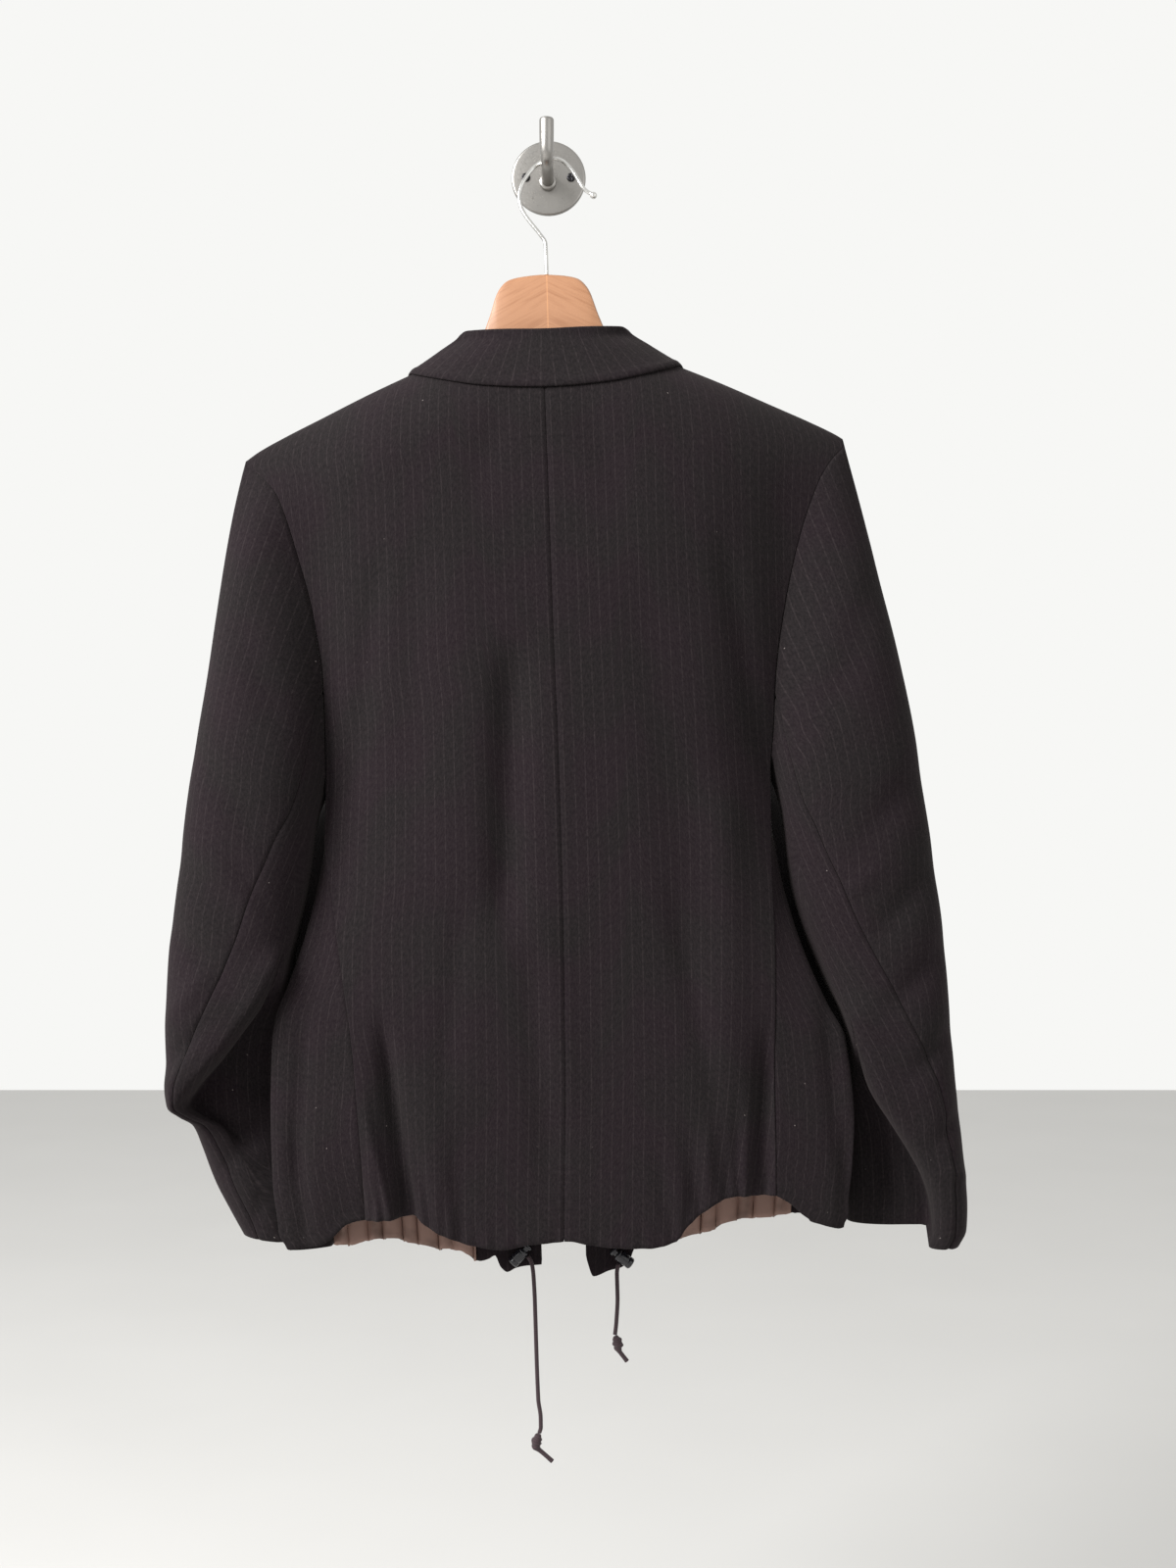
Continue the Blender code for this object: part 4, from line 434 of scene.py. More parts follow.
def ease(t: Grid) -> Grid:
    """Return a soft step from 0 to 1."""
    t = np.clip(t, 0.0, 1.0)
    return t * t * (3.0 - 2.0 * t)


def unit(v: Grid) -> Grid:
    """Return vectors of length one."""
    return v / np.maximum(np.linalg.norm(v, axis=-1, keepdims=True), 1e-9)


def creases(folds: Rows, x: Grid, z: Grid) -> Grid:
    """Add up listed creases.

    Args:
        folds: start x, start z, end x, end z, half width and depth toward the wall.
        x: places across.
        z: places up.

    Returns:
        How far each place is pushed toward the wall.
    """
    total = np.zeros(np.shape(x))
    for x0, z0, x1, z1, half, depth in folds:
        length = math.hypot(x1 - x0, z1 - z0)
        ux, uz = (x1 - x0) / length, (z1 - z0) / length
        along = (x - x0) * ux + (z - z0) * uz
        across = (x - x0) * uz - (z - z0) * ux
        run = min(60.0, length)
        share = ease(along / run + 0.5) * ease((length - along) / run + 0.5)
        total = total + depth * share * np.exp(-((across / half) ** 2))
    return total


def ridge_z(x: Grid) -> Grid:
    """Return the height of the shoulder line."""
    return column_of(RIDGE, np.abs(np.asarray(x) - CENTRE))


def plane_y(z: Grid) -> Grid:
    """Return the depth of the tilted hanger plane."""
    return -46.0 - 0.14 * (-91.0 - np.asarray(z))


def rounded(x: Grid, z: Grid) -> Grid:
    """Return the share of the full depth reached below the shoulder line."""
    drop = np.clip((ridge_z(x) - z) / SHOULDER_ROUND, 0.0, 1.0)
    return np.sqrt(np.maximum(1.0 - (1.0 - drop) ** 2, 0.0))


def back_y(x: Grid, z: Grid) -> Grid:
    """Return the depth of the back's outer face."""
    distance = np.abs(np.asarray(x) - CENTRE)
    full = depth_of(BACK_DEPTH, BACK_AT, z, distance) + creases(BACK_FOLDS, x, z)
    top = plane_y(ridge_z(x)) - SEAM_GAP
    return top + (full - top) * rounded(x, z)


def front_y(x: Grid, z: Grid) -> Grid:
    """Return the depth of the front's outer face, without its gathers."""
    full = depth_of(FRONT_DEPTH, FRONT_AT, z, np.abs(np.asarray(x) - CENTRE))
    top = plane_y(ridge_z(x)) + SEAM_GAP
    return top + (full - top) * rounded(x, z)


def hang(points: Grid) -> Grid:
    """Return world metres from hanging-frame millimetres."""
    p = np.asarray(points, dtype=float)
    c, s = math.cos(ROLL), math.sin(ROLL)
    x, y, z = p[..., 0], p[..., 1], p[..., 2]
    return np.stack([x * c - z * s, y, x * s + z * c], -1) * MM


def level(points: Grid) -> Grid:
    """Return hanging-frame points that stay level in the world."""
    p = np.asarray(points, dtype=float)
    c, s = math.cos(-ROLL), math.sin(-ROLL)
    x, y, z = p[..., 0], p[..., 1], p[..., 2]
    return np.stack([x * c - z * s, y, x * s + z * c], -1)


def refine(grid: Grid, rows: int, columns: int) -> Grid:
    """Read a coarse grid of points at more rows and columns, on smooth curves.

    Args:
        grid: rows by columns by three.
        rows: how many rows to return.
        columns: how many columns to return.

    Returns:
        The finer grid, through the coarse one's points.
    """
    down = np.linspace(0.0, grid.shape[0] - 1.0, rows)
    across = np.linspace(0.0, grid.shape[1] - 1.0, columns)
    for axis, at in ((0, down), (1, across)):
        lines = np.moveaxis(grid, axis, -1)
        spread = np.broadcast_to(lines[..., None, :], lines.shape[:-1] + (len(at), lines.shape[-1]))
        places = np.broadcast_to(at, spread.shape[:-1])
        grid = np.moveaxis(follow(range(lines.shape[-1]), spread, places), -1, axis)
    return grid


def grid_normals(grid: Grid, toward: Sequence[float] | None = None, calm: int = 1) -> Grid:
    """Find a grid's unit normals, averaged with their neighbours.

    Args:
        grid: rows by columns by three.
        toward: a direction that every normal is turned to, or None.
        calm: how often to average.

    Returns:
        One normal for each point.
    """
    normals = unit(np.cross(np.gradient(grid, axis=1), np.gradient(grid, axis=0)))
    if toward is not None:
        side = np.sum(normals * np.asarray(toward), axis=2, keepdims=True)
        normals = np.where(side < 0.0, -normals, normals)
    for _ in range(calm):
        wide = np.pad(normals, ((1, 1), (1, 1), (0, 0)), mode="edge")
        total = wide[:-2, 1:-1] + wide[2:, 1:-1] + wide[1:-1, :-2] + wide[1:-1, 2:]
        normals = unit(total + 2.0 * normals)
    return normals


def cloth_map(grid: Grid, middle: int) -> Grid:
    """Lay a grid flat, so that the stripes run parallel to one column.

    Args:
        grid: rows by columns by three, in millimetres.
        middle: the column that the stripes run along.

    Returns:
        Metres across and along the cloth, for each point.
    """
    across = np.linalg.norm(np.diff(grid, axis=1), axis=2)
    across = np.concatenate([np.zeros((len(grid), 1)), np.cumsum(across, axis=1)], axis=1)
    across -= across[:, middle:middle + 1]
    along = np.linalg.norm(np.diff(grid, axis=0), axis=2)
    along = np.concatenate([np.zeros((1, grid.shape[1])), np.cumsum(along, axis=0)], axis=0)
    return np.stack([across, -along], axis=2) * MM


def crowded(count: int, ends: float = 0.65) -> Grid:
    """Return shares from 0 to 1 that lie closer together near both ends."""
    t = np.linspace(0.0, 1.0, count)
    return t - ends * np.sin(2.0 * math.pi * t) / (2.0 * math.pi)


def linear(code: str) -> tuple[float, float, float, float]:
    """Turn an sRGB hex colour to linear values.

    Args:
        code: six hex digits.

    Returns:
        Red, green, blue and alpha.
    """
    parts = [int(code[i:i + 2], 16) / 255.0 for i in (0, 2, 4)]
    r, g, b = (v / 12.92 if v <= 0.04045 else ((v + 0.055) / 1.055) ** 2.4 for v in parts)
    return (r, g, b, 1.0)


def add_node(
    tree: bpy.types.NodeTree,
    kind: str,
    settings: dict | None = None,
    inputs: dict | None = None,
) -> bpy.types.Node:
    """Add one node, with its settings and links.

    Args:
        tree: the tree it goes in.
        kind: the node's type.
        settings: properties by name.
        inputs: values, or sockets to link from, by the input's name or number.

    Returns:
        The new node.
    """
    node = tree.nodes.new(kind)
    for name, value in (settings or {}).items():
        setattr(node, name, value)
    for name, value in (inputs or {}).items():
        if isinstance(value, bpy.types.NodeSocket):
            tree.links.new(value, node.inputs[name])
        else:
            node.inputs[name].default_value = value
    return node


def empty_material(name: str) -> tuple[bpy.types.Material, bpy.types.NodeTree]:
    """Make a material with no nodes and return it with its tree."""
    material = bpy.data.materials.new(name)
    material.use_nodes = True
    material.node_tree.nodes.clear()
    return material, material.node_tree


def finish_shader(
    material: bpy.types.Material,
    colour: bpy.types.NodeSocket,
    roughness: float | bpy.types.NodeSocket,
    normal: bpy.types.NodeSocket | None,
    plain: dict,
) -> bpy.types.Material:
    """End a material in one Principled shader.

    Args:
        material: the material to finish.
        colour: the socket that gives the colour.
        roughness: a value, or the socket that gives it.
        normal: the socket that gives the bumped normal, or None.
        plain: other inputs that are the same all over.

    Returns:
        The material.
    """
    tree = material.node_tree
    inputs = {"Base Color": colour, "Roughness": roughness, **plain}
    if normal is not None:
        inputs["Normal"] = normal
    shader = add_node(tree, "ShaderNodeBsdfPrincipled", None, inputs)
    add_node(tree, "ShaderNodeOutputMaterial", None, {"Surface": shader.outputs["BSDF"]})
    return material


@dataclass(frozen=True)
class Recipe:
    """How one common node is set, fed and read."""

    kind: str
    settings: dict
    inputs: tuple
    output: str | int


def sum_recipe(operation: str) -> Recipe:
    """Return the recipe of one sum."""
    return Recipe("ShaderNodeMath", {"operation": operation}, (0, 1), 0)


class Treat(Enum):
    """The ways in which a colour, a value or a normal is treated."""

    BLEND = Recipe("ShaderNodeMix", {"data_type": "RGBA", "clamp_factor": True}, (6, 7, "Factor"), 2)
    SOFTEN = Recipe("ShaderNodeMapRange", {"interpolation_type": "SMOOTHSTEP"},
                    ("Value", "From Min", "From Max", "To Min", "To Max"), "Result")
    NOISE = Recipe("ShaderNodeTexNoise", {}, ("Vector", "Scale", "Detail", "Roughness"), "Fac")
    RAISE = Recipe("ShaderNodeBump", {}, ("Height", "Strength", "Distance", "Normal"), "Normal")
    ADD = sum_recipe("ADD")
    SUBTRACT = sum_recipe("SUBTRACT")
    MULTIPLY = sum_recipe("MULTIPLY")
    DIVIDE = sum_recipe("DIVIDE")
    FRACT = sum_recipe("FRACT")
    ABSOLUTE = sum_recipe("ABSOLUTE")
    SINE = sum_recipe("SINE")


def apply(tree: bpy.types.NodeTree, treat: Treat, *values) -> bpy.types.NodeSocket:
    """Add one common node by its recipe.

    Args:
        tree: the tree it goes in.
        treat: which recipe.
        values: numbers, hex colours or sockets, in the order of the recipe's inputs.

    Returns:
        The socket that the recipe reads.
    """
    recipe = treat.value
    plain = [linear(value) if isinstance(value, str) else value for value in values]
    node = add_node(tree, recipe.kind, recipe.settings, dict(zip(recipe.inputs, plain)))
    return node.outputs[recipe.output]


def cloth_places(tree: bpy.types.NodeTree, scale: tuple[float, float]) -> bpy.types.NodeSocket:
    """Return the cloth's own map, in metres, times a scale across and along."""
    place = add_node(tree, "ShaderNodeUVMap", {"uv_map": "cloth"})
    inputs = {"Vector": place.outputs["UV"], "Scale": (scale[0], scale[1], 1.0)}
    return add_node(tree, "ShaderNodeMapping", None, inputs).outputs["Vector"]


@dataclass(frozen=True)
class BrushedWool:
    """Worsted wool, twill woven, lightly brushed, with a light broken pinstripe."""

    ground: str = "110C0F"
    plum: str = "140C11"
    grey: str = "0F0E0E"
    stripe: str = "302A2B"
    spacing: float = 7.7
    stripe_width: float = 0.8
    wander: float = 0.5
    lint: str = "8A817D"
    name: str = "charcoal pinstripe wool"

    def material(self) -> bpy.types.Material:
        """Build the material: a matt dark cloth with a soft haze of fibres."""
        material, tree = empty_material(self.name)
        metres = cloth_places(tree, (1.0, 1.0))
        apart = add_node(tree, "ShaderNodeSeparateXYZ", None, {"Vector": metres})
        across = apart.outputs["X"]
        # The dye shifts from plum to grey-green over patches of about 60 mm
        patches = apply(tree, Treat.NOISE, metres, 16.0, 2.0)
        greyed = apply(tree, Treat.SOFTEN, patches, 0.35, 0.65)
        dye = apply(tree, Treat.BLEND, self.plum, self.grey, greyed)
        base = apply(tree, Treat.BLEND, self.ground, dye, 0.6)
        # Mottle of brushed fibres, 1.4 mm wide and 3 mm long, drawn coarser than the real 0.3 mm
        fibres = apply(tree, Treat.NOISE, cloth_places(tree, (720.0, 330.0)), 1.0, 4.0, 0.65)
        light = apply(tree, Treat.SOFTEN, fibres, 0.32, 0.7, 0.0, 0.26)
        base = apply(tree, Treat.BLEND, base, self.stripe, light)
        # The stripe is a row of light picks, each about 2.5 mm long
        wander = apply(tree, Treat.NOISE, metres, 130.0, 1.0)
        wander = apply(tree, Treat.SUBTRACT, wander, 0.5)
        wander = apply(tree, Treat.MULTIPLY, wander, self.wander * MM)
        across = apply(tree, Treat.ADD, across, wander)
        turn = apply(tree, Treat.DIVIDE, across, self.spacing * MM)
        turn = apply(tree, Treat.SUBTRACT, apply(tree, Treat.FRACT, turn), 0.5)
        away = apply(tree, Treat.ABSOLUTE, turn)
        half = self.stripe_width / self.spacing / 2.0
        line = apply(tree, Treat.SOFTEN, away, half * 1.5, half * 0.5)
        picks = apply(tree, Treat.NOISE, cloth_places(tree, (130.0, 400.0)), 1.0, 2.0, 0.6)
        picks = apply(tree, Treat.SOFTEN, picks, 0.36, 0.64, 0.06, 0.42)
        line = apply(tree, Treat.MULTIPLY, line, picks)
        base = apply(tree, Treat.BLEND, base, self.stripe, line)
        # Odd pale specks of lint, under a millimetre across
        inputs = {"Vector": metres, "Scale": 95.0, "Randomness": 1.0}
        lint = add_node(tree, "ShaderNodeTexVoronoi", None, inputs).outputs["Distance"]
        pick = apply(tree, Treat.SOFTEN, apply(tree, Treat.NOISE, metres, 60.0, 1.0), 0.60, 0.66)
        speck = apply(tree, Treat.MULTIPLY, apply(tree, Treat.SOFTEN, lint, 0.055, 0.03), pick)
        base = apply(tree, Treat.BLEND, base, self.lint, apply(tree, Treat.MULTIPLY, speck, 0.5))
        # Twill lines about 0.9 mm apart, drawn coarser than the real 0.5 mm
        twill = add_node(tree, "ShaderNodeTexWave", {"bands_direction": "DIAGONAL"},
                         {"Vector": cloth_places(tree, (1.0, 0.55)), "Scale": 210.0,
                          "Distortion": 1.2, "Detail": 1.0, "Detail Scale": 2.0})
        normal = apply(tree, Treat.RAISE, twill.outputs["Fac"], 0.25, 0.1 * MM)
        normal = apply(tree, Treat.RAISE, fibres, 0.5, 0.25 * MM, normal)
        plain = {"Sheen Weight": 0.04, "Sheen Roughness": 0.6, "Specular IOR Level": 0.1,
                 "Sheen Tint": linear("B8ACA8")}
        return finish_shader(material, base, 0.95, normal, plain)


@dataclass(frozen=True)
class Lining:
    """Acetate lining, plain woven and matt, with a faint gleam on its gathers."""

    thread: str = "7C6157"
    shade: str = "533F37"
    name: str = "brown lining"

    def material(self) -> bpy.types.Material:
        """Build the material: smooth cloth with fine threads across and along."""
        material, tree = empty_material(self.name)
        metres = cloth_places(tree, (1.0, 1.0))
        cloud = apply(tree, Treat.NOISE, metres, 45.0, 3.0)
        base = apply(tree, Treat.BLEND, self.shade, self.thread, apply(tree, Treat.SOFTEN, cloud, 0.2, 0.55))
        # Threads 0.5 mm apart, drawn coarser than the real 0.15 mm
        weft = add_node(tree, "ShaderNodeTexWave", {"bands_direction": "X"},
                        {"Vector": metres, "Scale": 320.0, "Distortion": 0.4})
        warp = add_node(tree, "ShaderNodeTexWave", {"bands_direction": "Y"},
                        {"Vector": metres, "Scale": 320.0, "Distortion": 0.4})
        weave = apply(tree, Treat.MULTIPLY, weft.outputs["Fac"], warp.outputs["Fac"])
        normal = apply(tree, Treat.RAISE, weave, 0.2, 0.1 * MM)
        return finish_shader(material, base, 0.62, normal, {"Specular IOR Level": 0.35})


@dataclass(frozen=True)
class BraidedCord:
    """Polyester cord, braided round, in plum brown."""

    strand: str = "3D2B30"
    # A darker copy of the strand colour, painted into the grooves between strands as shade
    painted_groove_shade: str = "1B1215"
    name: str = "braided plum cord"

    def material(self) -> bpy.types.Material:
        """Build the material: crossing strands that catch the light, with painted shade in the grooves
        between them.
        """
        material, tree = empty_material(self.name)
        # Strands cross every 1.6 mm along the cord, 6 of them round it
        places = cloth_places(tree, (1.0, 1.0))
        apart = add_node(tree, "ShaderNodeSeparateXYZ", None, {"Vector": places})
        round_it, along = apart.outputs["X"], apart.outputs["Y"]
        steps = apply(tree, Treat.MULTIPLY, along, 2.0 * math.pi / 0.0032)
        turns = apply(tree, Treat.MULTIPLY, round_it, 2.0 * math.pi * 6.0)
        one = apply(tree, Treat.SINE, apply(tree, Treat.ADD, turns, steps))
        two = apply(tree, Treat.SINE, apply(tree, Treat.SUBTRACT, turns, steps))
        height = apply(tree, Treat.SOFTEN, apply(tree, Treat.MULTIPLY, one, two), -0.6, 0.6)
        # Painted shade: the grooves between strands, where the height is low, take the darker colour
        base = apply(tree, Treat.BLEND, self.painted_groove_shade, self.strand, height)
        normal = apply(tree, Treat.RAISE, height, 0.7, 0.3 * MM)
        plain = {"Specular IOR Level": 0.3, "Sheen Weight": 0.1, "Sheen Roughness": 0.5}
        return finish_shader(material, base, 0.72, normal, plain)


@dataclass(frozen=True)
class MouldedPlastic:
    """Acetal, injection moulded and glossy, as cord locks are."""

    body: str = "141318"
    name: str = "black moulded plastic"

    def material(self) -> bpy.types.Material:
        """Build the material: black plastic with faint handling marks."""
        material, tree = empty_material(self.name)
        place = add_node(tree, "ShaderNodeTexCoord").outputs["Object"]
        marks = apply(tree, Treat.NOISE, place, 900.0, 3.0)
        base = apply(tree, Treat.BLEND, self.body, "26242B", apply(tree, Treat.SOFTEN, marks, 0.45, 0.8))
        rough = apply(tree, Treat.SOFTEN, marks, 0.3, 0.7, 0.16, 0.32)
        normal = apply(tree, Treat.RAISE, apply(tree, Treat.NOISE, place, 300.0, 1.0), 0.1, 0.05 * MM)
        return finish_shader(material, base, rough, normal, {"IOR": 1.48})


@dataclass(frozen=True)
class LacqueredWood:
    """Pale hardwood, glued from two halves, sawn, sanded and clear lacquered."""

    pale: str = "94694A"
    grain: str = "7E5233"
    name: str = "lacquered pale wood"

    def material(self) -> bpy.types.Material:
        """Build the material: slanted grain that meets in an inverted V at the glue line."""
        material, tree = empty_material(self.name)
        place = add_node(tree, "ShaderNodeTexCoord").outputs["Object"]
        centre = hang(np.array([[CENTRE, 0.0, -100.0]]))[0]
        moved = add_node(tree, "ShaderNodeMapping", None,
                         {"Vector": place, "Location": (-centre[0], 0.0, 0.0),
                          "Rotation": (0.0, ROLL, 0.0)}).outputs["Vector"]
        apart = add_node(tree, "ShaderNodeSeparateXYZ", None, {"Vector": moved})
        half = apply(tree, Treat.ABSOLUTE, apart.outputs["X"])
        # Grain falls about 28 degrees from level on each half
        lean = apply(tree, Treat.MULTIPLY, half, 0.53)
        lean = apply(tree, Treat.ADD, apart.outputs["Z"], lean)
        lines = add_node(tree, "ShaderNodeCombineXYZ", None,
                         {"X": apply(tree, Treat.MULTIPLY, half, 28.0),
                          "Y": apply(tree, Treat.MULTIPLY, apart.outputs["Y"], 120.0),
                          "Z": apply(tree, Treat.MULTIPLY, lean, 330.0)}).outputs["Vector"]
        # Grain lines 2 to 3 mm apart, with pores about 0.5 mm wide
        bands = apply(tree, Treat.NOISE, lines, 1.0, 3.0, 0.55)
        bands = apply(tree, Treat.SOFTEN, bands, 0.42, 0.75, 0.0, 0.7)
        base = apply(tree, Treat.BLEND, self.pale, self.grain, bands)
        pores = apply(tree, Treat.NOISE, lines, 4.0, 2.0, 0.6)
        dark = apply(tree, Treat.SOFTEN, pores, 0.66, 0.8, 0.0, 0.45)
        base = apply(tree, Treat.BLEND, base, "A86F43", dark)
        glue = apply(tree, Treat.SOFTEN, half, 0.0006, 0.0002, 0.0, 0.5)
        base = apply(tree, Treat.BLEND, base, "B98459", glue)
        normal = apply(tree, Treat.RAISE, pores, 0.15, 0.08 * MM)
        plain = {"Coat Weight": 0.25, "Coat Roughness": 0.25}
        return finish_shader(material, base, 0.48, normal, plain)


@dataclass(frozen=True)
class Nickel:
    """Steel, nickel plated; satin on the wall hook, drawn and bright on the wire."""

    tone: str = "96938F"
    rough: float = 0.34
    name: str = "satin nickel"

    def material(self) -> bpy.types.Material:
        """Build the material: metal with fine marks that soften its gleam."""
        material, tree = empty_material(self.name)
        place = add_node(tree, "ShaderNodeTexCoord").outputs["Object"]
        # Marks of the satin brush, 0.4 mm wide
        marks = apply(tree, Treat.NOISE, place, 1400.0, 2.0)
        cloud = apply(tree, Treat.NOISE, place, 60.0, 2.0)
        cloud = apply(tree, Treat.SOFTEN, cloud, 0.35, 0.85, 0.0, 0.5)
        base = apply(tree, Treat.BLEND, self.tone, "8F8D8A", cloud)
        rough = apply(tree, Treat.SOFTEN, marks, 0.2, 0.8, self.rough - 0.08, self.rough + 0.08)
        normal = apply(tree, Treat.RAISE, marks, 0.12, 0.03 * MM)
        return finish_shader(material, base, rough, normal, {"Metallic": 1.0})


@dataclass(frozen=True)
class PlatedScrew:
    """Steel screw, black oxide finished."""

    tone: str = "2C2B2D"
    name: str = "black plated steel"

    def material(self) -> bpy.types.Material:
        """Build the material: dark metal, worn a little at random."""
        material, tree = empty_material(self.name)
        place = add_node(tree, "ShaderNodeTexCoord").outputs["Object"]
        wear = apply(tree, Treat.NOISE, place, 700.0, 3.0)
        wear = apply(tree, Treat.SOFTEN, wear, 0.6, 0.8, 0.0, 0.6)
        base = apply(tree, Treat.BLEND, self.tone, "6E6C6B", wear)
        return finish_shader(material, base, 0.42, None, {"Metallic": 0.9})


def plain_mesh(
    name: str,
    points: Grid,
    faces: list[tuple[int, ...]],
    uv: Grid | None,
    material: bpy.types.Material,
) -> bpy.types.Object:
    """Make one smooth closed object at the origin from hanging-frame points.

    Args:
        name: the object's name.
        points: its corners in hanging-frame millimetres.
        faces: its faces.
        uv: a place on the cloth for each corner, in metres, or None.
        material: its finish.

    Returns:
        The object, with its faces turned outward.
    """
    world = hang(points)
    sides = max(len(face) for face in faces)
    fan = np.array([[face[min(k, len(face) - 1)] for k in range(sides)] for face in faces])
    volume = 0.0
    for k in range(1, sides - 1):
        a, b, c = world[fan[:, 0]], world[fan[:, k]], world[fan[:, k + 1]]
        volume += float(np.sum(a * np.cross(b, c)))
    if volume < 0.0:
        faces = [tuple(reversed(face)) for face in faces]
    mesh = bpy.data.meshes.new(name)
    mesh.from_pydata([tuple(p) for p in world], [], faces)
    if uv is not None:
        layer = mesh.uv_layers.new(name="cloth")
        corners = np.zeros(len(mesh.loops), dtype=np.int32)
        mesh.loops.foreach_get("vertex_index", corners)
        layer.data.foreach_set("uv", uv[corners].astype(np.float32).ravel())
    mesh.shade_smooth()
    mesh.materials.append(material)
    item = bpy.data.objects.new(name, mesh)
    bpy.context.scene.collection.objects.link(item)
    return item


def thin_shell(
    name: str,
    outer: Grid,
    normals: Grid,
    thickness: float,
    uv: Grid,
    material: bpy.types.Material,
) -> bpy.types.Object:
    """Make one closed cloth shell with a rounded rim.

    Args:
        name: the object's name.
        outer: rows by columns of points on the cloth's right side.
        normals: the way out at each point.
        thickness: how thick the cloth is.
        uv: each point's place on the flat cloth.
        material: its finish.

    Returns:
        The object.
    """
    rows, columns = outer.shape[:2]
    inner = outer - normals * thickness
    n = rows * columns
    index = np.arange(n).reshape(rows, columns)
    a, b = index[:-1, :-1].ravel(), index[:-1, 1:].ravel()
    c, d = index[1:, 1:].ravel(), index[1:, :-1].ravel()
    faces = np.concatenate([np.stack([a, b, c, d], 1), np.stack([d, c, b, a], 1) + n])
    edge = np.concatenate([
        index[0, :], index[1:, -1], index[-1, -2::-1], index[-2:0:-1, 0],
    ])
    middle = (outer + inner) / 2.0
    near = np.concatenate([
        middle[1, :], middle[1:, -2], middle[-2, -2::-1], middle[-2:0:-1, 1],
    ])
    flat = middle.reshape(-1, 3)[edge]
    bulge = flat + unit(flat - near) * min(thickness * 0.3, 0.4)
    ring = np.arange(len(edge)) + 2 * n
    after, ring_after = np.roll(edge, -1), np.roll(ring, -1)
    rim = np.concatenate([
        np.stack([after, edge, ring, ring_after], 1),
        np.stack([ring_after, ring, edge + n, after + n], 1),
    ])
    points = np.concatenate([outer.reshape(-1, 3), inner.reshape(-1, 3), bulge])
    flat_uv = uv.reshape(-1, 2)
    places = np.concatenate([flat_uv, flat_uv, flat_uv[edge]])
    every = [tuple(int(v) for v in face) for face in np.concatenate([faces, rim])]
    return plain_mesh(name, points, every, places, material)


@dataclass
class Report:
    """Collects the finished pieces and says what was built."""

    pieces: int = 0

    def add(
        self,
        piece: bpy.types.Object,
        body: str,
        slot: str,
        nodes: Sequence[str],
    ) -> bpy.types.Object:
        """Let a piece ride, stand for its nodes, and log it.

        Args:
            piece: the finished object.
            body: the CAD body that it moves with.
            slot: the record's material slot; not used.
            nodes: the CAD nodes that it stands for.

        Returns:
            The piece.
        """
        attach(piece, body)
        if nodes:
            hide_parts(*nodes)
        self.pieces += 1
        LOG.info("%s: %d faces, rides on %s", piece.name, len(piece.data.polygons), body)
        return piece

    def add_cloth(
        self,
        piece: bpy.types.Object,
        slot: str,
        nodes: Sequence[str],
        grid: Grid,
        rests_on: Sequence[str],
        held: str = "hung",
    ) -> bpy.types.Object:
        """Add a piece of cloth.

        Args:
            piece: the finished object.
            slot: the record's material slot; passed on to add, which does not use it.
            nodes: the CAD nodes that it stands for.
            grid: the points of its right side; not used.
            rests_on: what it hangs from; not used.
            held: how it is held; not used.

        Returns:
            The piece.
        """
        self.add(piece, "root", slot, nodes)
        return piece


def sewn_edges(
    grid: Grid, normals: Grid, columns: Sequence[int], dip: float, half: float, trim: float
) -> Grid:
    """Trim and dip a piece's sewn edges, as a pressed seam does.

    Args:
        grid: the piece's outer face.
        normals: the way out.
        columns: 0, -1 or both, the edges that are sewn.
        dip: how deep the seam lies.
        half: how far the dip reaches.
        trim: how much each edge is cut back.

    Returns:
        The piece with its sewn edges dipped.
    """
    shaped = grid.copy()
    steps = np.linalg.norm(np.diff(grid, axis=1), axis=2)
    along = np.concatenate([np.zeros((len(grid), 1)), np.cumsum(steps, axis=1)], axis=1)
    for column in columns:
        away = along if column == 0 else along[:, -1:] - along
        shaped -= normals * (dip * np.exp(-((away / half) ** 2)))[..., None]
        near = grid[:, 1] if column == 0 else grid[:, -2]
        shaped[:, column] += unit(near - grid[:, column]) * trim
    return shaped


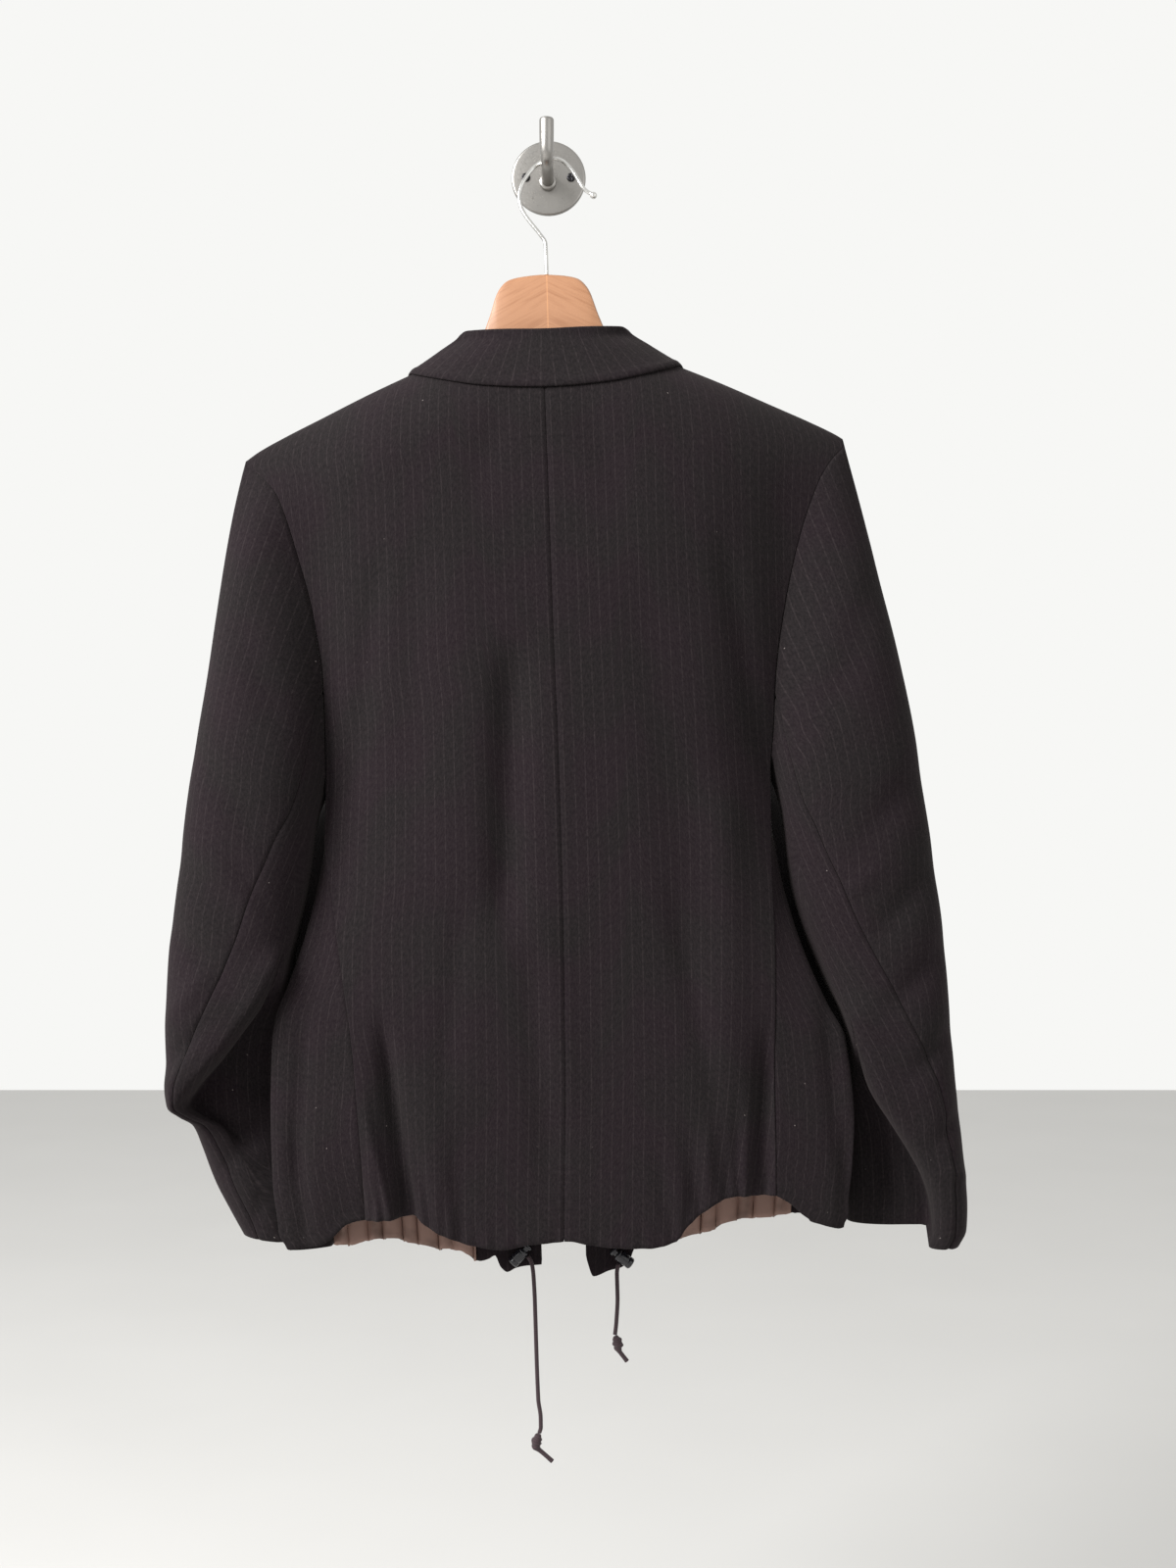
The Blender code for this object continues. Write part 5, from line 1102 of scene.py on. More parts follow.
@dataclass
class Body:
    """The jacket's body: two backs, two sides and two fronts, with facings and lining."""

    wool: bpy.types.Material
    lining: bpy.types.Material
    report: Report
    columns: int = 86
    high_rows: int = 76
    low_rows: int = 104
    side_columns: int = 56
    front_columns: int = 150
    cloth: float = 1.3
    facing_cloth: float = 0.9
    facing_gap: float = 0.45
    seam_dip: float = 0.9
    seam_half: float = 1.7
    gather_height: float = 110.0
    gather_depth: float = 2.4
    hem_curl: float = 5.0
    hem_curl_height: float = 14.0
    lining_top: float = -725.0
    facing_row: int = 30
    side_hem_share: float = 0.45

    def shares(self) -> Grid:
        """Return each row's share down a panel, closer together at the shoulder."""
        high = ARMHOLE_SHARE * np.linspace(0.0, 1.0, self.high_rows) ** 1.5
        low = np.linspace(ARMHOLE_SHARE, 1.0, self.low_rows)
        return np.concatenate([high, low[1:]])

    def edge_x(self, table: Rows, column: int, side: Side, z: Grid) -> Grid:
        """Return a panel's side edge, which starts at the shoulder's end."""
        reach = SHOULDER[side.value]
        share = ease((ridge_z(CENTRE + reach) - z) / 14.0)
        distance = reach * (1.0 - share) + column_of(table, z, column) * share
        return CENTRE + side.way * distance

    def puckers(self, x: Grid, z: Grid, hem: Grid) -> Grid:
        """Return the hem's small puckers, drawn up by the drawstring.

        Args:
            x: places across.
            z: places up.
            hem: the hem's height there.

        Returns:
            How far each place is pushed toward the wall.
        """
        total = np.zeros(np.shape(x))
        for place, reach, half, depth in HEM_PUCKERS:
            rise = ease(1.0 - (z - hem) / reach)
            lean = (z - hem) * 0.12 * math.sin(place * 1.7)
            total = total + depth * rise * np.exp(-(((x - place - lean) / half) ** 2))
        return total

    def back_grid(self, side: Side) -> Grid:
        """Return one back panel's outer face, from the centre seam to the side."""
        column = 2 if side is Side.LEFT else 3
        f, r = np.meshgrid(crowded(self.columns), self.shares())
        z_top = column_of(BACK_TOP, f * SHOULDER[side.value])
        x_hem = (1.0 - f) * float(column_of(BACK_EDGE, -805.0, 1))
        x_hem = x_hem + f * self.edge_x(BACK_EDGE, column, side, np.full(f.shape, -785.0))
        hem = column_of(BACK_HEM, x_hem)
        z = z_top + r * (hem - z_top)
        x = (1.0 - f) * column_of(BACK_EDGE, z, 1) + f * self.edge_x(BACK_EDGE, column, side, z)
        y = back_y(x, z)
        y = y + (creases(BACK_CREASES, x, z) + self.puckers(x, z, hem)) * rounded(x, z) ** 4
        return np.stack([x, y, z], 2)

    def front_grid(self, side: Side) -> tuple[Grid, Grid]:
        """Return one front panel's outer face and its columns' places at the hem."""
        edge, seam = (1, 3) if side is Side.LEFT else (2, 4)
        name = side.value
        start, end, waves = GATHER_START[name], GATHER_END[name], GATHER_COLUMNS[name]
        first, last = GATHERS[name][0], (PLAIN_END[name] or (end,))[-1]
        places = first + (last - first) * crowded(self.front_columns, 0.3)
        f, r = np.meshgrid((places - first) / (last - first), self.shares())
        x_top = (1.0 - f) * float(column_of(FRONT_EDGE, -200.0, edge))
        x_top = x_top + f * (CENTRE + side.way * SHOULDER[name])
        z_top = column_of(FRONT_TOP, np.abs(x_top - CENTRE))
        x_hem = (1.0 - f) * float(column_of(FRONT_EDGE, -845.0, edge))
        x_hem = x_hem + f * self.edge_x(FRONT_EDGE, seam, side, np.full(f.shape, -822.0))
        hem = column_of(FRONT_HEM, x_hem)
        z = z_top + r * (hem - z_top)
        x = (1.0 - f) * column_of(FRONT_EDGE, z, edge) + f * self.edge_x(FRONT_EDGE, seam, side, z)
        rise = ease(1.0 - (z - hem) / self.gather_height)
        turn = (places - start) / (end - start) * (waves - 1)
        turn = turn + 0.26 * np.sin(1.7 * turn + 0.6) + 0.15 * np.sin(3.1 * turn)
        wave = np.cos(math.pi * turn) * ease(turn + 1.0) * ease(waves - turn)
        wave = np.where((turn > -1.0) & (turn < waves), wave, 0.0)
        wave = wave * (0.85 + 0.35 * np.sin(2.2 * turn + 1.0))
        # The gathered hem hangs in lobes, a millimetre or two lower where it bulges
        lobes = 0.9 * wave + 1.1 * np.sin(0.9 * turn + 2.0) * np.minimum(np.abs(wave) * 3.0, 1.0)
        z = z - lobes[None] * rise
        y = front_y(x, z) + wave[None] * self.gather_depth * rise
        y = y - creases(FRONT_CREASES, x, z) * rounded(x, z) ** 4
        return np.stack([x, y, z], 2), places

    def side_grid(self, side: Side, back: Grid, front: Grid) -> Grid:
        """Return the panel under the arm, between the back and the front."""
        edge, middle = (1, 4) if side is Side.LEFT else (2, 5)
        g = crowded(self.side_columns, 0.5)[None]
        share = np.linspace(0.0, 1.0, self.low_rows)[:, None]
        start, end = back[self.high_rows - 1:, -1], front[self.high_rows - 1:, -1]
        z_high = start[0, 2] * (1.0 - g) + end[0, 2] * g
        reach = CENTRE + side.way * SIDE_HEM_REACH
        hem_edge = float(column_of(BACK_HEM, reach))
        place = start[-1, 0] + (reach - start[-1, 0]) * np.clip(g / self.side_hem_share, 0.0, 1.0)
        turned = column_of(BACK_HEM, place)
        onward = (g - self.side_hem_share) / (1.0 - self.side_hem_share)
        inside = hem_edge + (end[-1, 2] - hem_edge) * onward
        z_low = np.where(g < self.side_hem_share, turned, inside)
        z = z_high + share * (z_low - z_high)
        # The turned hem curls in by a few millimetres, which rounds its corner
        curl = self.hem_curl * ease(1.0 - (z - z_low) / self.hem_curl_height) ** 2
        x_edge = CENTRE + side.way * (column_of(SIDE_EDGE, z, edge) - curl)
        x_middle = CENTRE + side.way * (column_of(SIDE_EDGE, z, middle) - curl)
        one = np.ones(z.shape)
        xs = np.stack([start[:, :1] * one, x_edge, x_middle, end[:, :1] * one], -1)
        depth = (start[:, 1:2] * one, column_of(SIDE_EDGE, z, 3), one * SIDE_MID_DEPTH,
                 end[:, 1:2] * one)
        across = np.broadcast_to(g, z.shape)
        x = follow(SIDE_KNOTS, xs, across)
        y = follow(SIDE_KNOTS, np.stack(depth, -1), across)
        y = y + creases(SIDE_CREASES, x, z) * ease((0.6 - across) / 0.2)
        return np.stack([x, y, z], 2)

    def build(self) -> dict[Side, Grid]:
        """Make every panel of the body.

        Returns:
            Each side's armhole, from the shoulder down the back and up the front.
        """
        grids = {}
        for side in Side:
            back = self.back_grid(side)
            front, places = self.front_grid(side)
            grids[side] = (back, front, self.side_grid(side, back, front), places)
        normals = {}
        for side, (back, front, under, _) in grids.items():
            back_n = ridge_ends(back, grid_normals(back, (0.0, -1.0, 0.0), 2))
            front_n = ridge_ends(front, grid_normals(front, (0.0, 1.0, 0.0), 2))
            under_n = grid_normals(under, None, 2)
            if under_n[30, self.side_columns // 2, 0] * side.way < 0.0:
                under_n = -under_n
            low = self.high_rows - 1
            for one, two in ((back_n[low:, -1], under_n[:, 0]), (front_n[low:, -1], under_n[:, -1])):
                mean = unit(one + two)
                one[:] = mean
                two[:] = mean
            normals[side] = (back_n, front_n, under_n)
        left, right = normals[Side.LEFT][0], normals[Side.RIGHT][0]
        left[:, 0] = right[:, 0] = unit(left[:, 0] + right[:, 0])
        armholes = {}
        for side in Side:
            back, front, under, places = grids[side]
            back_n, front_n, under_n = normals[side]
            low = self.high_rows - 1
            armholes[side] = np.concatenate([back[:low, -1], under[0], front[low - 1::-1, -1]])
            seam = (self.seam_dip, self.seam_half, SEAM_GAP)
            self.add_panel("back_" + side.value, sewn_edges(back, back_n, (0,), *seam), back_n, 0)
            self.add_panel("side_" + side.value, sewn_edges(under, under_n, (0, -1), *seam),
                           under_n, self.side_columns // 2)
            self.add_panel("front_" + side.value, front, front_n, 8)
            self.add_inside(side, front, front_n, places)
        return armholes

    def add_panel(self, name: str, grid: Grid, normals: Grid, middle: int) -> None:
        """Make one wool panel of the body."""
        uv = cloth_map(grid, middle)
        if middle == 0:
            uv[..., 0] += 0.0003
        piece = thin_shell(name + "_cloth", grid, normals, self.cloth, uv, self.wool)
        self.report.add_cloth(piece, "wool", [name], grid, ["hanger_bar"])

    def add_inside(self, side: Side, front: Grid, normals: Grid, places: Grid) -> None:
        """Make a front's facing and the band of lining beside it."""
        name = side.value
        inside = front - normals * (self.cloth + self.facing_gap)
        split = int(np.searchsorted(places, GATHERS[name][-1] + 3.0))
        stop = int(np.searchsorted(places, GATHER_END[name]))
        top = self.facing_row
        facing, facing_n = inside[top:, :split], normals[top:, :split]
        uv = cloth_map(facing, 0)
        label = "facing_%s_cloth" % name
        piece = thin_shell(label, facing, facing_n, self.facing_cloth, uv, self.wool)
        self.report.add_cloth(piece, "wool", ["facing_" + name], facing, ["front_" + name])
        low = int(np.searchsorted(-inside[:, split + 10, 2], -self.lining_top))
        band, band_n = inside[low:, split:stop], normals[low:, split:stop]
        uv = cloth_map(band, 0)
        label = "lining_%s_cloth" % name
        piece = thin_shell(label, band, band_n, self.facing_cloth, uv, self.lining)
        self.report.add_cloth(piece, "lining", ["lining_" + name], band, ["front_" + name],
                              "gathered")


def ridge_ends(grid: Grid, normals: Grid) -> Grid:
    """Point the top row's normals straight out of the shoulder line."""
    x = grid[0, :, 0]
    lean = (ridge_z(x + 1.0) - ridge_z(x - 1.0)) / 2.0
    out = unit(np.stack([-lean, np.zeros(len(x)), np.ones(len(x))], 1))
    normals[0] = np.where(np.abs(x - CENTRE)[:, None] > 66.0, out, normals[0])
    return normals


def rounded_section(q: Grid) -> Grid:
    """Return how full a flattened sleeve is at shares across, 0 at both edges."""
    return np.maximum(1.0 - np.abs(2.0 * q - 1.0) ** POWER, 0.0) ** (1.0 / POWER)


@dataclass
class Sleeves:
    """The two-piece sleeves, each one hanging tube with a fold below its elbow."""

    wool: bpy.types.Material
    report: Report
    rows: int = 176
    outer: int = 44
    middle: int = 18
    inner: int = 20
    front_inner: int = 16
    front_outer: int = 34
    cloth: float = 1.2
    trim: float = 0.3
    seam_dip: float = 0.8
    seam_half: float = 1.6
    fold_full: float = 12.0
    fold_drop: float = 24.0
    fold_reach: float = 30.0
    roll_width: float = 11.0
    roll_share: float = 0.42
    roll_start: float = 0.55

    def half_depth(self, row: Sequence[float], q: Grid, after: bool) -> Grid:
        """Return a sleeve's back depth at shares across, before or after its fold."""
        mid_outer, mid_inner, deep, fold, step = row[4], row[5], row[6], row[10], row[11]
        hump = rounded_section(q)
        mid = mid_outer + (mid_inner - mid_outer) * q
        plain = mid + (deep - mid) * hump
        if after:
            s = np.clip((q - fold) / (1.0 - fold), 0.0, 1.0)
            body = (1.0 - s ** POWER) ** (1.0 / POWER)
            folded = mid_inner + (deep + step - mid_inner) * body
        else:
            s = np.minimum(q / (self.roll_start * fold), 1.0)
            body = (1.0 - (1.0 - s) ** POWER) ** (1.0 / POWER)
            folded = mid_outer + (deep - mid_outer) * body
            width = abs(row[3] - row[1])
            near = np.clip(1.0 - (fold - q) * width / self.roll_width, 0.0, 1.0)
            folded = folded + self.roll_share * step * (1.0 - np.sqrt(1.0 - near ** 2))
        share = ease(step / self.fold_full)
        return plain * (1.0 - share) + folded * share

    def ring(self, side: Side, row: Sequence[float], hole: Grid) -> tuple[Grid, Grid]:
        """Return one ring: outer edge, back, inner edge, then front.

        Args:
            side: which sleeve.
            row: one row of the sleeve's table.
            hole: the armhole's points.

        Returns:
            The ring's points and their shares round it.
        """
        zo, xo, zi, xi = row[:4]
        seam, fold, step = row[9], row[10], row[11]
        a_seam, a_fold = math.acos(1.0 - 2.0 * seam), math.acos(1.0 - 2.0 * fold)
        open_share = 1.0 - float(ease(step / self.fold_full))
        a_after = a_fold + 0.4 * (math.pi - a_fold) * open_share + 0.02
        before = np.concatenate([
            a_seam * crowded(self.outer, 0.4),
            a_seam + (a_fold - a_seam) * crowded(self.middle, 0.4)[1:],
        ])
        behind = np.linspace(a_after, math.pi, self.inner)
        front_seam = math.pi * FRONT_SEAM
        fronts = np.concatenate([
            np.linspace(math.pi, front_seam, self.front_inner)[1:],
            np.linspace(front_seam, 0.0, self.front_outer)[1:-1],
        ])
        parts = []
        for angle, after in ((before, False), (behind, True)):
            q = (1.0 - np.cos(angle)) / 2.0
            z = zo + (zi - zo) * q
            if step > 0.0:
                z = z + ((zi if after else zo) - z) * float(ease(step / self.fold_drop))
            x = xo + (xi - xo) * q
            if after:
                x[0] += side.way * OVERHANG * float(ease(step / self.fold_reach))
            parts.append(np.stack([x, self.half_depth(row, q, after), z], 1))
        q = (1.0 - np.cos(fronts)) / 2.0
        mid = row[4] + (row[5] - row[4]) * q
        hump = rounded_section(q)
        y = mid + (row[7] - mid) * hump
        parts.append(np.stack([xo + (xi - xo) * q, y, zo + (zi - zo) * q], 1))
        points = np.concatenate(parts)
        turns = 2.0 * math.pi
        shares = np.concatenate([before / turns, behind / turns, 1.0 - fronts / turns])
        return hole_points(hole, shares) * row[8] + points * (1.0 - row[8]), shares

    def tube(self, side: Side, armhole: Grid) -> Grid:
        """Return a whole sleeve's rings, from the armhole to the cuff."""
        hole = armhole + np.array([side.way * ARMHOLE_GAP, 0.0, 0.0])
        rings = []
        for row in SLEEVES[side.value]:
            points, shares = self.ring(side, row, hole)
            if not rings:
                rings.append(hole_points(hole, shares))
            rings.append(points)
        coarse = np.array(rings)
        steps = np.linalg.norm(np.diff(coarse, axis=0), axis=2).mean(axis=1)
        keys = np.concatenate([[0.0], np.cumsum(steps)])
        at = keys[-1] * np.linspace(0.0, 1.0, self.rows)
        lines = np.moveaxis(coarse, 0, -1)
        spread = np.broadcast_to(lines[..., None, :], lines.shape[:-1] + (self.rows, len(keys)))
        places = np.broadcast_to(at, spread.shape[:-1])
        return np.moveaxis(follow(keys, spread, places), -1, 0)

    def build(self, armholes: dict[Side, Grid]) -> None:
        """Make both sleeves, each of an upper and an under piece.

        Args:
            armholes: each side's armhole points.
        """
        for side in Side:
            tube = self.tube(side, armholes[side])
            looped = np.concatenate([tube[:, -1:], tube, tube[:, :1]], axis=1)
            normals = grid_normals(looped, None, 2)[:, 1:-1]
            centre = tube.mean(axis=1, keepdims=True)
            if np.sum(normals[60:90] * (tube - centre)[60:90]) < 0.0:
                normals = -normals
            faced = np.clip(-normals[..., 1] * 1.6, 0.0, 1.0)
            down = ease(np.linspace(0.0, 1.0, self.rows) / 0.12)[:, None]
            push = creases(SLEEVE_CREASES[side.value], tube[..., 0], tube[..., 2]) * faced * down
            tube = tube - normals * push[..., None]
            normals[0, :, 0] = np.where(normals[0, :, 0] * side.way > 0.0, 0.0, normals[0, :, 0])
            normals[0] = unit(normals[0])
            count = tube.shape[1]
            seam = self.outer - 1
            front_seam = self.outer + self.middle - 1 + self.inner + self.front_inner - 2
            under = list(range(seam, front_seam + 1))
            upper = list(range(front_seam, count)) + list(range(0, seam + 1))
            for part, picks in (("upper", upper), ("under", under)):
                name = "sleeve_%s_%s" % (side.value, part)
                grid = sewn_edges(tube[:, picks], normals[:, picks], (0, -1), self.seam_dip,
                                  self.seam_half, self.trim)
                uv = self.grain_map(grid, part == "upper")
                label = name + "_cloth"
                piece = thin_shell(label, grid, normals[:, picks], self.cloth, uv, self.wool)
                self.report.add_cloth(piece, "wool", [name], grid, ["hanger_bar"])

    def grain_map(self, grid: Grid, upper: bool) -> Grid:
        """Lay a sleeve piece flat with its stripes down the arm.

        Args:
            grid: the piece's right side.
            upper: whether it is the upper piece, with the outer edge in it.

        Returns:
            Metres across and along the cloth, for each point.
        """
        axis = unit(grid[60].mean(axis=0) - grid[8].mean(axis=0))
        steps = np.diff(grid, axis=1)
        steps = steps - axis * np.sum(steps * axis, axis=2, keepdims=True)
        widths = np.linalg.norm(steps, axis=2)
        across = np.concatenate([np.zeros((len(grid), 1)), np.cumsum(widths, axis=1)], axis=1)
        if upper:
            middle = self.front_outer - 1
            across = across - across[:, middle:middle + 1]
        else:
            fold = self.middle - 1
            across = across - across[:, fold + self.inner:fold + self.inner + 1]
            first = across[40:41, :1]
            before = across[:, :fold + 1] - across[:, :1] + first
            across[:, :fold + 1] = before
        along = np.linalg.norm(np.diff(grid, axis=0), axis=2).mean(axis=1)
        along = np.concatenate([[0.0], np.cumsum(along)])
        lift = np.sum((grid - grid.mean(axis=1, keepdims=True)) * axis, axis=2)
        return np.stack([across, -(along[:, None] + lift)], axis=2) * MM


def along_line(line: Grid, shares: Grid) -> Grid:
    """Return the points at some shares of a polyline's length."""
    steps = np.linalg.norm(np.diff(line, axis=0), axis=1)
    total = np.concatenate([[0.0], np.cumsum(steps)])
    return np.stack([np.interp(shares * total[-1], total, line[:, k]) for k in range(3)], 1)


def hole_points(hole: Grid, shares: Grid) -> Grid:
    """Return points of the armhole at shares round it, from the shoulder down the back."""
    middle = len(hole) // 2
    back = along_line(hole[:middle + 1], np.clip(shares * 2.0, 0.0, 1.0))
    front = along_line(hole[middle:], np.clip(shares * 2.0 - 1.0, 0.0, 1.0))
    return np.where(shares[:, None] <= 0.5, back, front)


@dataclass
class Collar:
    """The turn-down collar: a stand round the neck and a fall over it."""

    wool: bpy.types.Material
    report: Report
    cloth: float = 1.5
    columns: int = 190
    fall_rows: int = 40
    stand_rows: int = 14

    def above(self, kind: str, x: float, z: float, clear: float) -> Grid:
        """Return a point a clear distance off the torso's surface."""
        if kind == "ridge":
            lean = float(ridge_z(x + 1.0) - ridge_z(x - 1.0)) / 2.0
            height = float(ridge_z(x))
            out = unit(np.array([-lean, 0.0, 1.0]))
            return np.array([x, float(plane_y(height)), height]) + out * clear
        face = back_y if kind == "back" else front_y
        z = min(z, float(ridge_z(x)) - 3.0)
        xs, zs = np.array([x, x + 1.0, x - 1.0, x, x]), np.array([z, z, z, z + 1.0, z - 1.0])
        y = face(xs, zs)
        normal = unit(np.array([-(y[1] - y[2]) / 2.0, 1.0, -(y[3] - y[4]) / 2.0]))
        return np.array([x, y[0], z]) + normal * (-clear if kind == "back" else clear)

    def stations(self) -> tuple[Grid, Grid, Grid]:
        """Return the stand's points, the fall's points and the way out at each station."""
        stands, falls, outs = [], [], []
        for way, rows in ((-1.0, COLLAR), (1.0, COLLAR[::-1][1:])):
            for d, y, z, fd, fy, fz, ed, ez, kind in rows:
                neck = np.array([CENTRE + way * d, y, z])
                fold = np.array([CENTRE + way * fd, fy, fz])
                room = COLLAR_CLEAR[kind]
                edge = self.above(kind, CENTRE + way * ed, ez, room)
                up = unit(fold - neck)
                out = edge - neck
                out = unit(out - up * np.dot(out, up))
                low = fold + out * 4.2 - up * 4.0
                fall = [fold + up * (self.cloth + 0.4), fold + out * 2.6 + up * (self.cloth - 0.2)]
                for share in (0.0, 0.35, 0.7):
                    point = low + (edge - low) * share
                    clear = self.above(kind, point[0], point[2], room)
                    axis = 2 if kind == "ridge" else 1
                    pick = min if kind == "back" else max
                    point[axis] = pick(point[axis], clear[axis])
                    fall.append(point)
                fall.append(edge)
                stands.append([neck + up * 0.5, (neck + fold) / 2.0 + up * 0.2, fold])
                falls.append(fall)
                outs.append(out)
        return (np.array(stands).transpose(1, 0, 2), np.array(falls).transpose(1, 0, 2),
                np.array(outs))

    def build(self) -> None:
        """Make the stand and the fall."""
        stand, fall, outs = self.stations()
        way_out = refine(outs[None].repeat(2, 0), 2, self.columns)[:1]
        for name, coarse, rows in (("stand", stand, self.stand_rows), ("fall", fall, self.fall_rows)):
            grid = refine(coarse, rows, self.columns)
            normals = grid_normals(grid, None, 1)
            if np.sum(normals * way_out) < 0.0:
                normals = -normals
            if name == "fall":
                # The edge is a pressed fold with the seam rolled under
                steps = np.linalg.norm(np.diff(grid, axis=0), axis=2)
                total = np.concatenate([np.zeros((1, self.columns)), np.cumsum(steps, axis=0)])
                away = total[-1:] - total
                lift = 0.5 * np.exp(-(((away - 4.0) / 2.2) ** 2)) - 0.5 * np.exp(-((away / 1.2) ** 2))
                grid = grid + normals * lift[..., None]
            uv = cloth_map(grid, self.columns // 2)
            middle = uv[len(grid) // 2:len(grid) // 2 + 1, :, 0]
            uv[..., 0] = middle
            label = "collar_%s_cloth" % name
            piece = thin_shell(label, grid, normals, self.cloth, uv, self.wool)
            self.report.add_cloth(piece, "wool", ["collar_" + name], grid, ["back_left"], "folded")


def swept(
    path: Grid,
    radii: Sequence[float],
    sides: int,
    bulge: float = 0.0,
) -> tuple[Grid, list[tuple[int, ...]], Grid]:
    """Sweep a round section along a path and close its ends.

    Args:
        path: the points that it follows.
        radii: the radius at each point.
        sides: how many corners the section has.
        bulge: how far each end's middle stands out.

    Returns:
        Points, faces and each point's turn round and metres along.
    """
    count = len(path)
    points, places = [], []
    guide = np.array([0.0, 1.0, 0.0])
    run = 0.0
    for i in range(count):
        ahead = unit(path[min(i + 1, count - 1)] - path[max(i - 1, 0)])
        if abs(np.dot(guide, ahead)) > 0.95:
            guide = np.array([1.0, 0.0, 0.0])
        guide = unit(guide - ahead * np.dot(guide, ahead))
        other = np.cross(ahead, guide)
        if i:
            run += float(np.linalg.norm(path[i] - path[i - 1]))
        for k in range(sides):
            a = 2.0 * math.pi * k / sides
            points.append(path[i] + (guide * math.cos(a) + other * math.sin(a)) * radii[i])
            places.append((k / sides, run * MM))
    faces = []
    for i in range(count - 1):
        for k in range(sides):
            a, b = i * sides + k, i * sides + (k + 1) % sides
            faces.append((a, b, b + sides, a + sides))
    first, last = len(points), len(points) + 1
    points.append(path[0] - unit(path[1] - path[0]) * bulge)
    points.append(path[-1] + unit(path[-1] - path[-2]) * bulge)
    places += [(0.0, 0.0), (0.0, run * MM)]
    for k in range(sides):
        faces.append((first, (k + 1) % sides, k))
        low = (count - 1) * sides
        faces.append((last, low + k, low + (k + 1) % sides))
    return np.array(points), faces, np.array(places)


def bent(points: Rows, spacing: float) -> Grid:
    """Return a smooth path through points at an even spacing."""
    line = np.asarray(points, dtype=float)
    steps = np.linalg.norm(np.diff(line, axis=0), axis=1)
    keys = np.concatenate([[0.0], np.cumsum(steps)])
    count = max(int(round(keys[-1] / spacing)), 2)
    at = np.linspace(0.0, keys[-1], count + 1)
    return np.stack([follow(keys, line[:, k], at) for k in range(line.shape[1])], 1)


def turned(start: Grid, axis: Grid, profile: Rows, sides: int) -> tuple[Grid, list, Grid]:
    """Turn a profile of distances along an axis and radii into a closed body."""
    start, axis = np.asarray(start, dtype=float), unit(np.asarray(axis, dtype=float))
    guide = np.array([0.0, 1.0, 0.0])
    if abs(axis[1]) > 0.9:
        guide = np.array([1.0, 0.0, 0.0])
    across = unit(np.cross(axis, guide))
    other = np.cross(axis, across)
    points, faces = [], []
    for along, radius in profile:
        for k in range(sides):
            a = 2.0 * math.pi * k / sides
            spoke = across * math.cos(a) + other * math.sin(a)
            points.append(start + axis * along + spoke * radius)
    for i in range(len(profile) - 1):
        for k in range(sides):
            a, b = i * sides + k, i * sides + (k + 1) % sides
            faces.append((a, b, b + sides, a + sides))
    first, last = len(points), len(points) + 1
    points += [start + axis * profile[0][0], start + axis * profile[-1][0]]
    low = (len(profile) - 1) * sides
    for k in range(sides):
        faces.append((first, (k + 1) % sides, k))
        faces.append((last, low + k, low + (k + 1) % sides))
    return np.array(points), faces, np.zeros((len(points), 2))


def softened(profile: Rows, radius: float = 0.35, steps: int = 3) -> list[tuple[float, float]]:
    """Round the corners of a turned profile."""
    rows = [tuple(profile[0])]
    for before, at, after in zip(profile, profile[1:], profile[2:]):
        a, b, c = (np.array(v, dtype=float) for v in (before, at, after))
        one, two = np.linalg.norm(a - b), np.linalg.norm(c - b)
        cut = min(radius, one * 0.45, two * 0.45)
        start, end = b + (a - b) / one * cut, b + (c - b) / two * cut
        for k in range(steps + 1):
            t = k / steps
            spot = start * (1 - t) ** 2 + b * 2 * t * (1 - t) + end * t * t
            rows.append((float(spot[0]), float(spot[1])))
    rows.append(tuple(profile[-1]))
    return rows


@dataclass
class Hanger:
    """The wooden hanger and its wire hook."""

    wood: bpy.types.Material
    wire: bpy.types.Material
    report: Report
    sections: int = 150
    corner_steps: int = 4
    corner: float = 4.2

    def build(self) -> None:
        """Make the bar and the wire."""
        table = [(-row[0], *row[1:]) for row in HANGER] + [row for row in HANGER[::-1][1:]]
        keys = np.arange(len(table), dtype=float)
        at = np.linspace(0.0, keys[-1], self.sections)
        d, top, low, half = (follow(keys, np.array([r[k] for r in table]), at) for k in range(4))
        points, count = [], 4 * (self.corner_steps + 1)
        for i in range(self.sections):
            bevel = min(self.corner, half[i] * 0.7)
            for turn, (sy, sz) in enumerate(((-1, 1), (1, 1), (1, -1), (-1, -1))):
                edge = top[i] if sz > 0 else low[i]
                for k in range(self.corner_steps + 1):
                    a = math.pi / 2.0 * (k / self.corner_steps + (2 - turn) % 4)
                    a = math.pi - math.pi / 2.0 * (turn + k / self.corner_steps)
                    y = sy * (half[i] - bevel) + bevel * math.cos(a)
                    z = edge - sz * bevel + bevel * math.sin(a)
                    points.append((CENTRE + d[i], float(plane_y(z)) + y, z))
        faces = []
        for i in range(self.sections - 1):
            for k in range(count):
                a, b = i * count + k, i * count + (k + 1) % count
                faces.append((a, b, b + count, a + count))
        faces.append(tuple(range(count - 1, -1, -1)))
        faces.append(tuple((self.sections - 1) * count + k for k in range(count)))
        piece = plain_mesh("wooden_hanger", np.array(points), faces, None, self.wood)
        self.report.add(piece, "root", "wood", ["hanger_bar"])
        lane = bent([(x, float(plane_y(z)), z) for x, z in WIRE], 1.2)
        ahead = unit(lane[-1] - lane[-2])
        ball = [(0.3, 1.8), (0.8, 2.3), (1.6, 2.6), (2.4, 2.68), (3.2, 2.55), (4.0, 2.1),
                (4.6, 1.4), (4.9, 0.6)]
        path = np.array(list(lane) + [lane[-1] + ahead * step for step, _ in ball])
        radii = [1.5] * len(lane) + [radius for _, radius in ball]
        points, faces, _ = swept(path, radii, 20)
        piece = plain_mesh("wire_hook", points, faces, None, self.wire)
        self.report.add(piece, "root", "nickel", ["hanger_hook"])


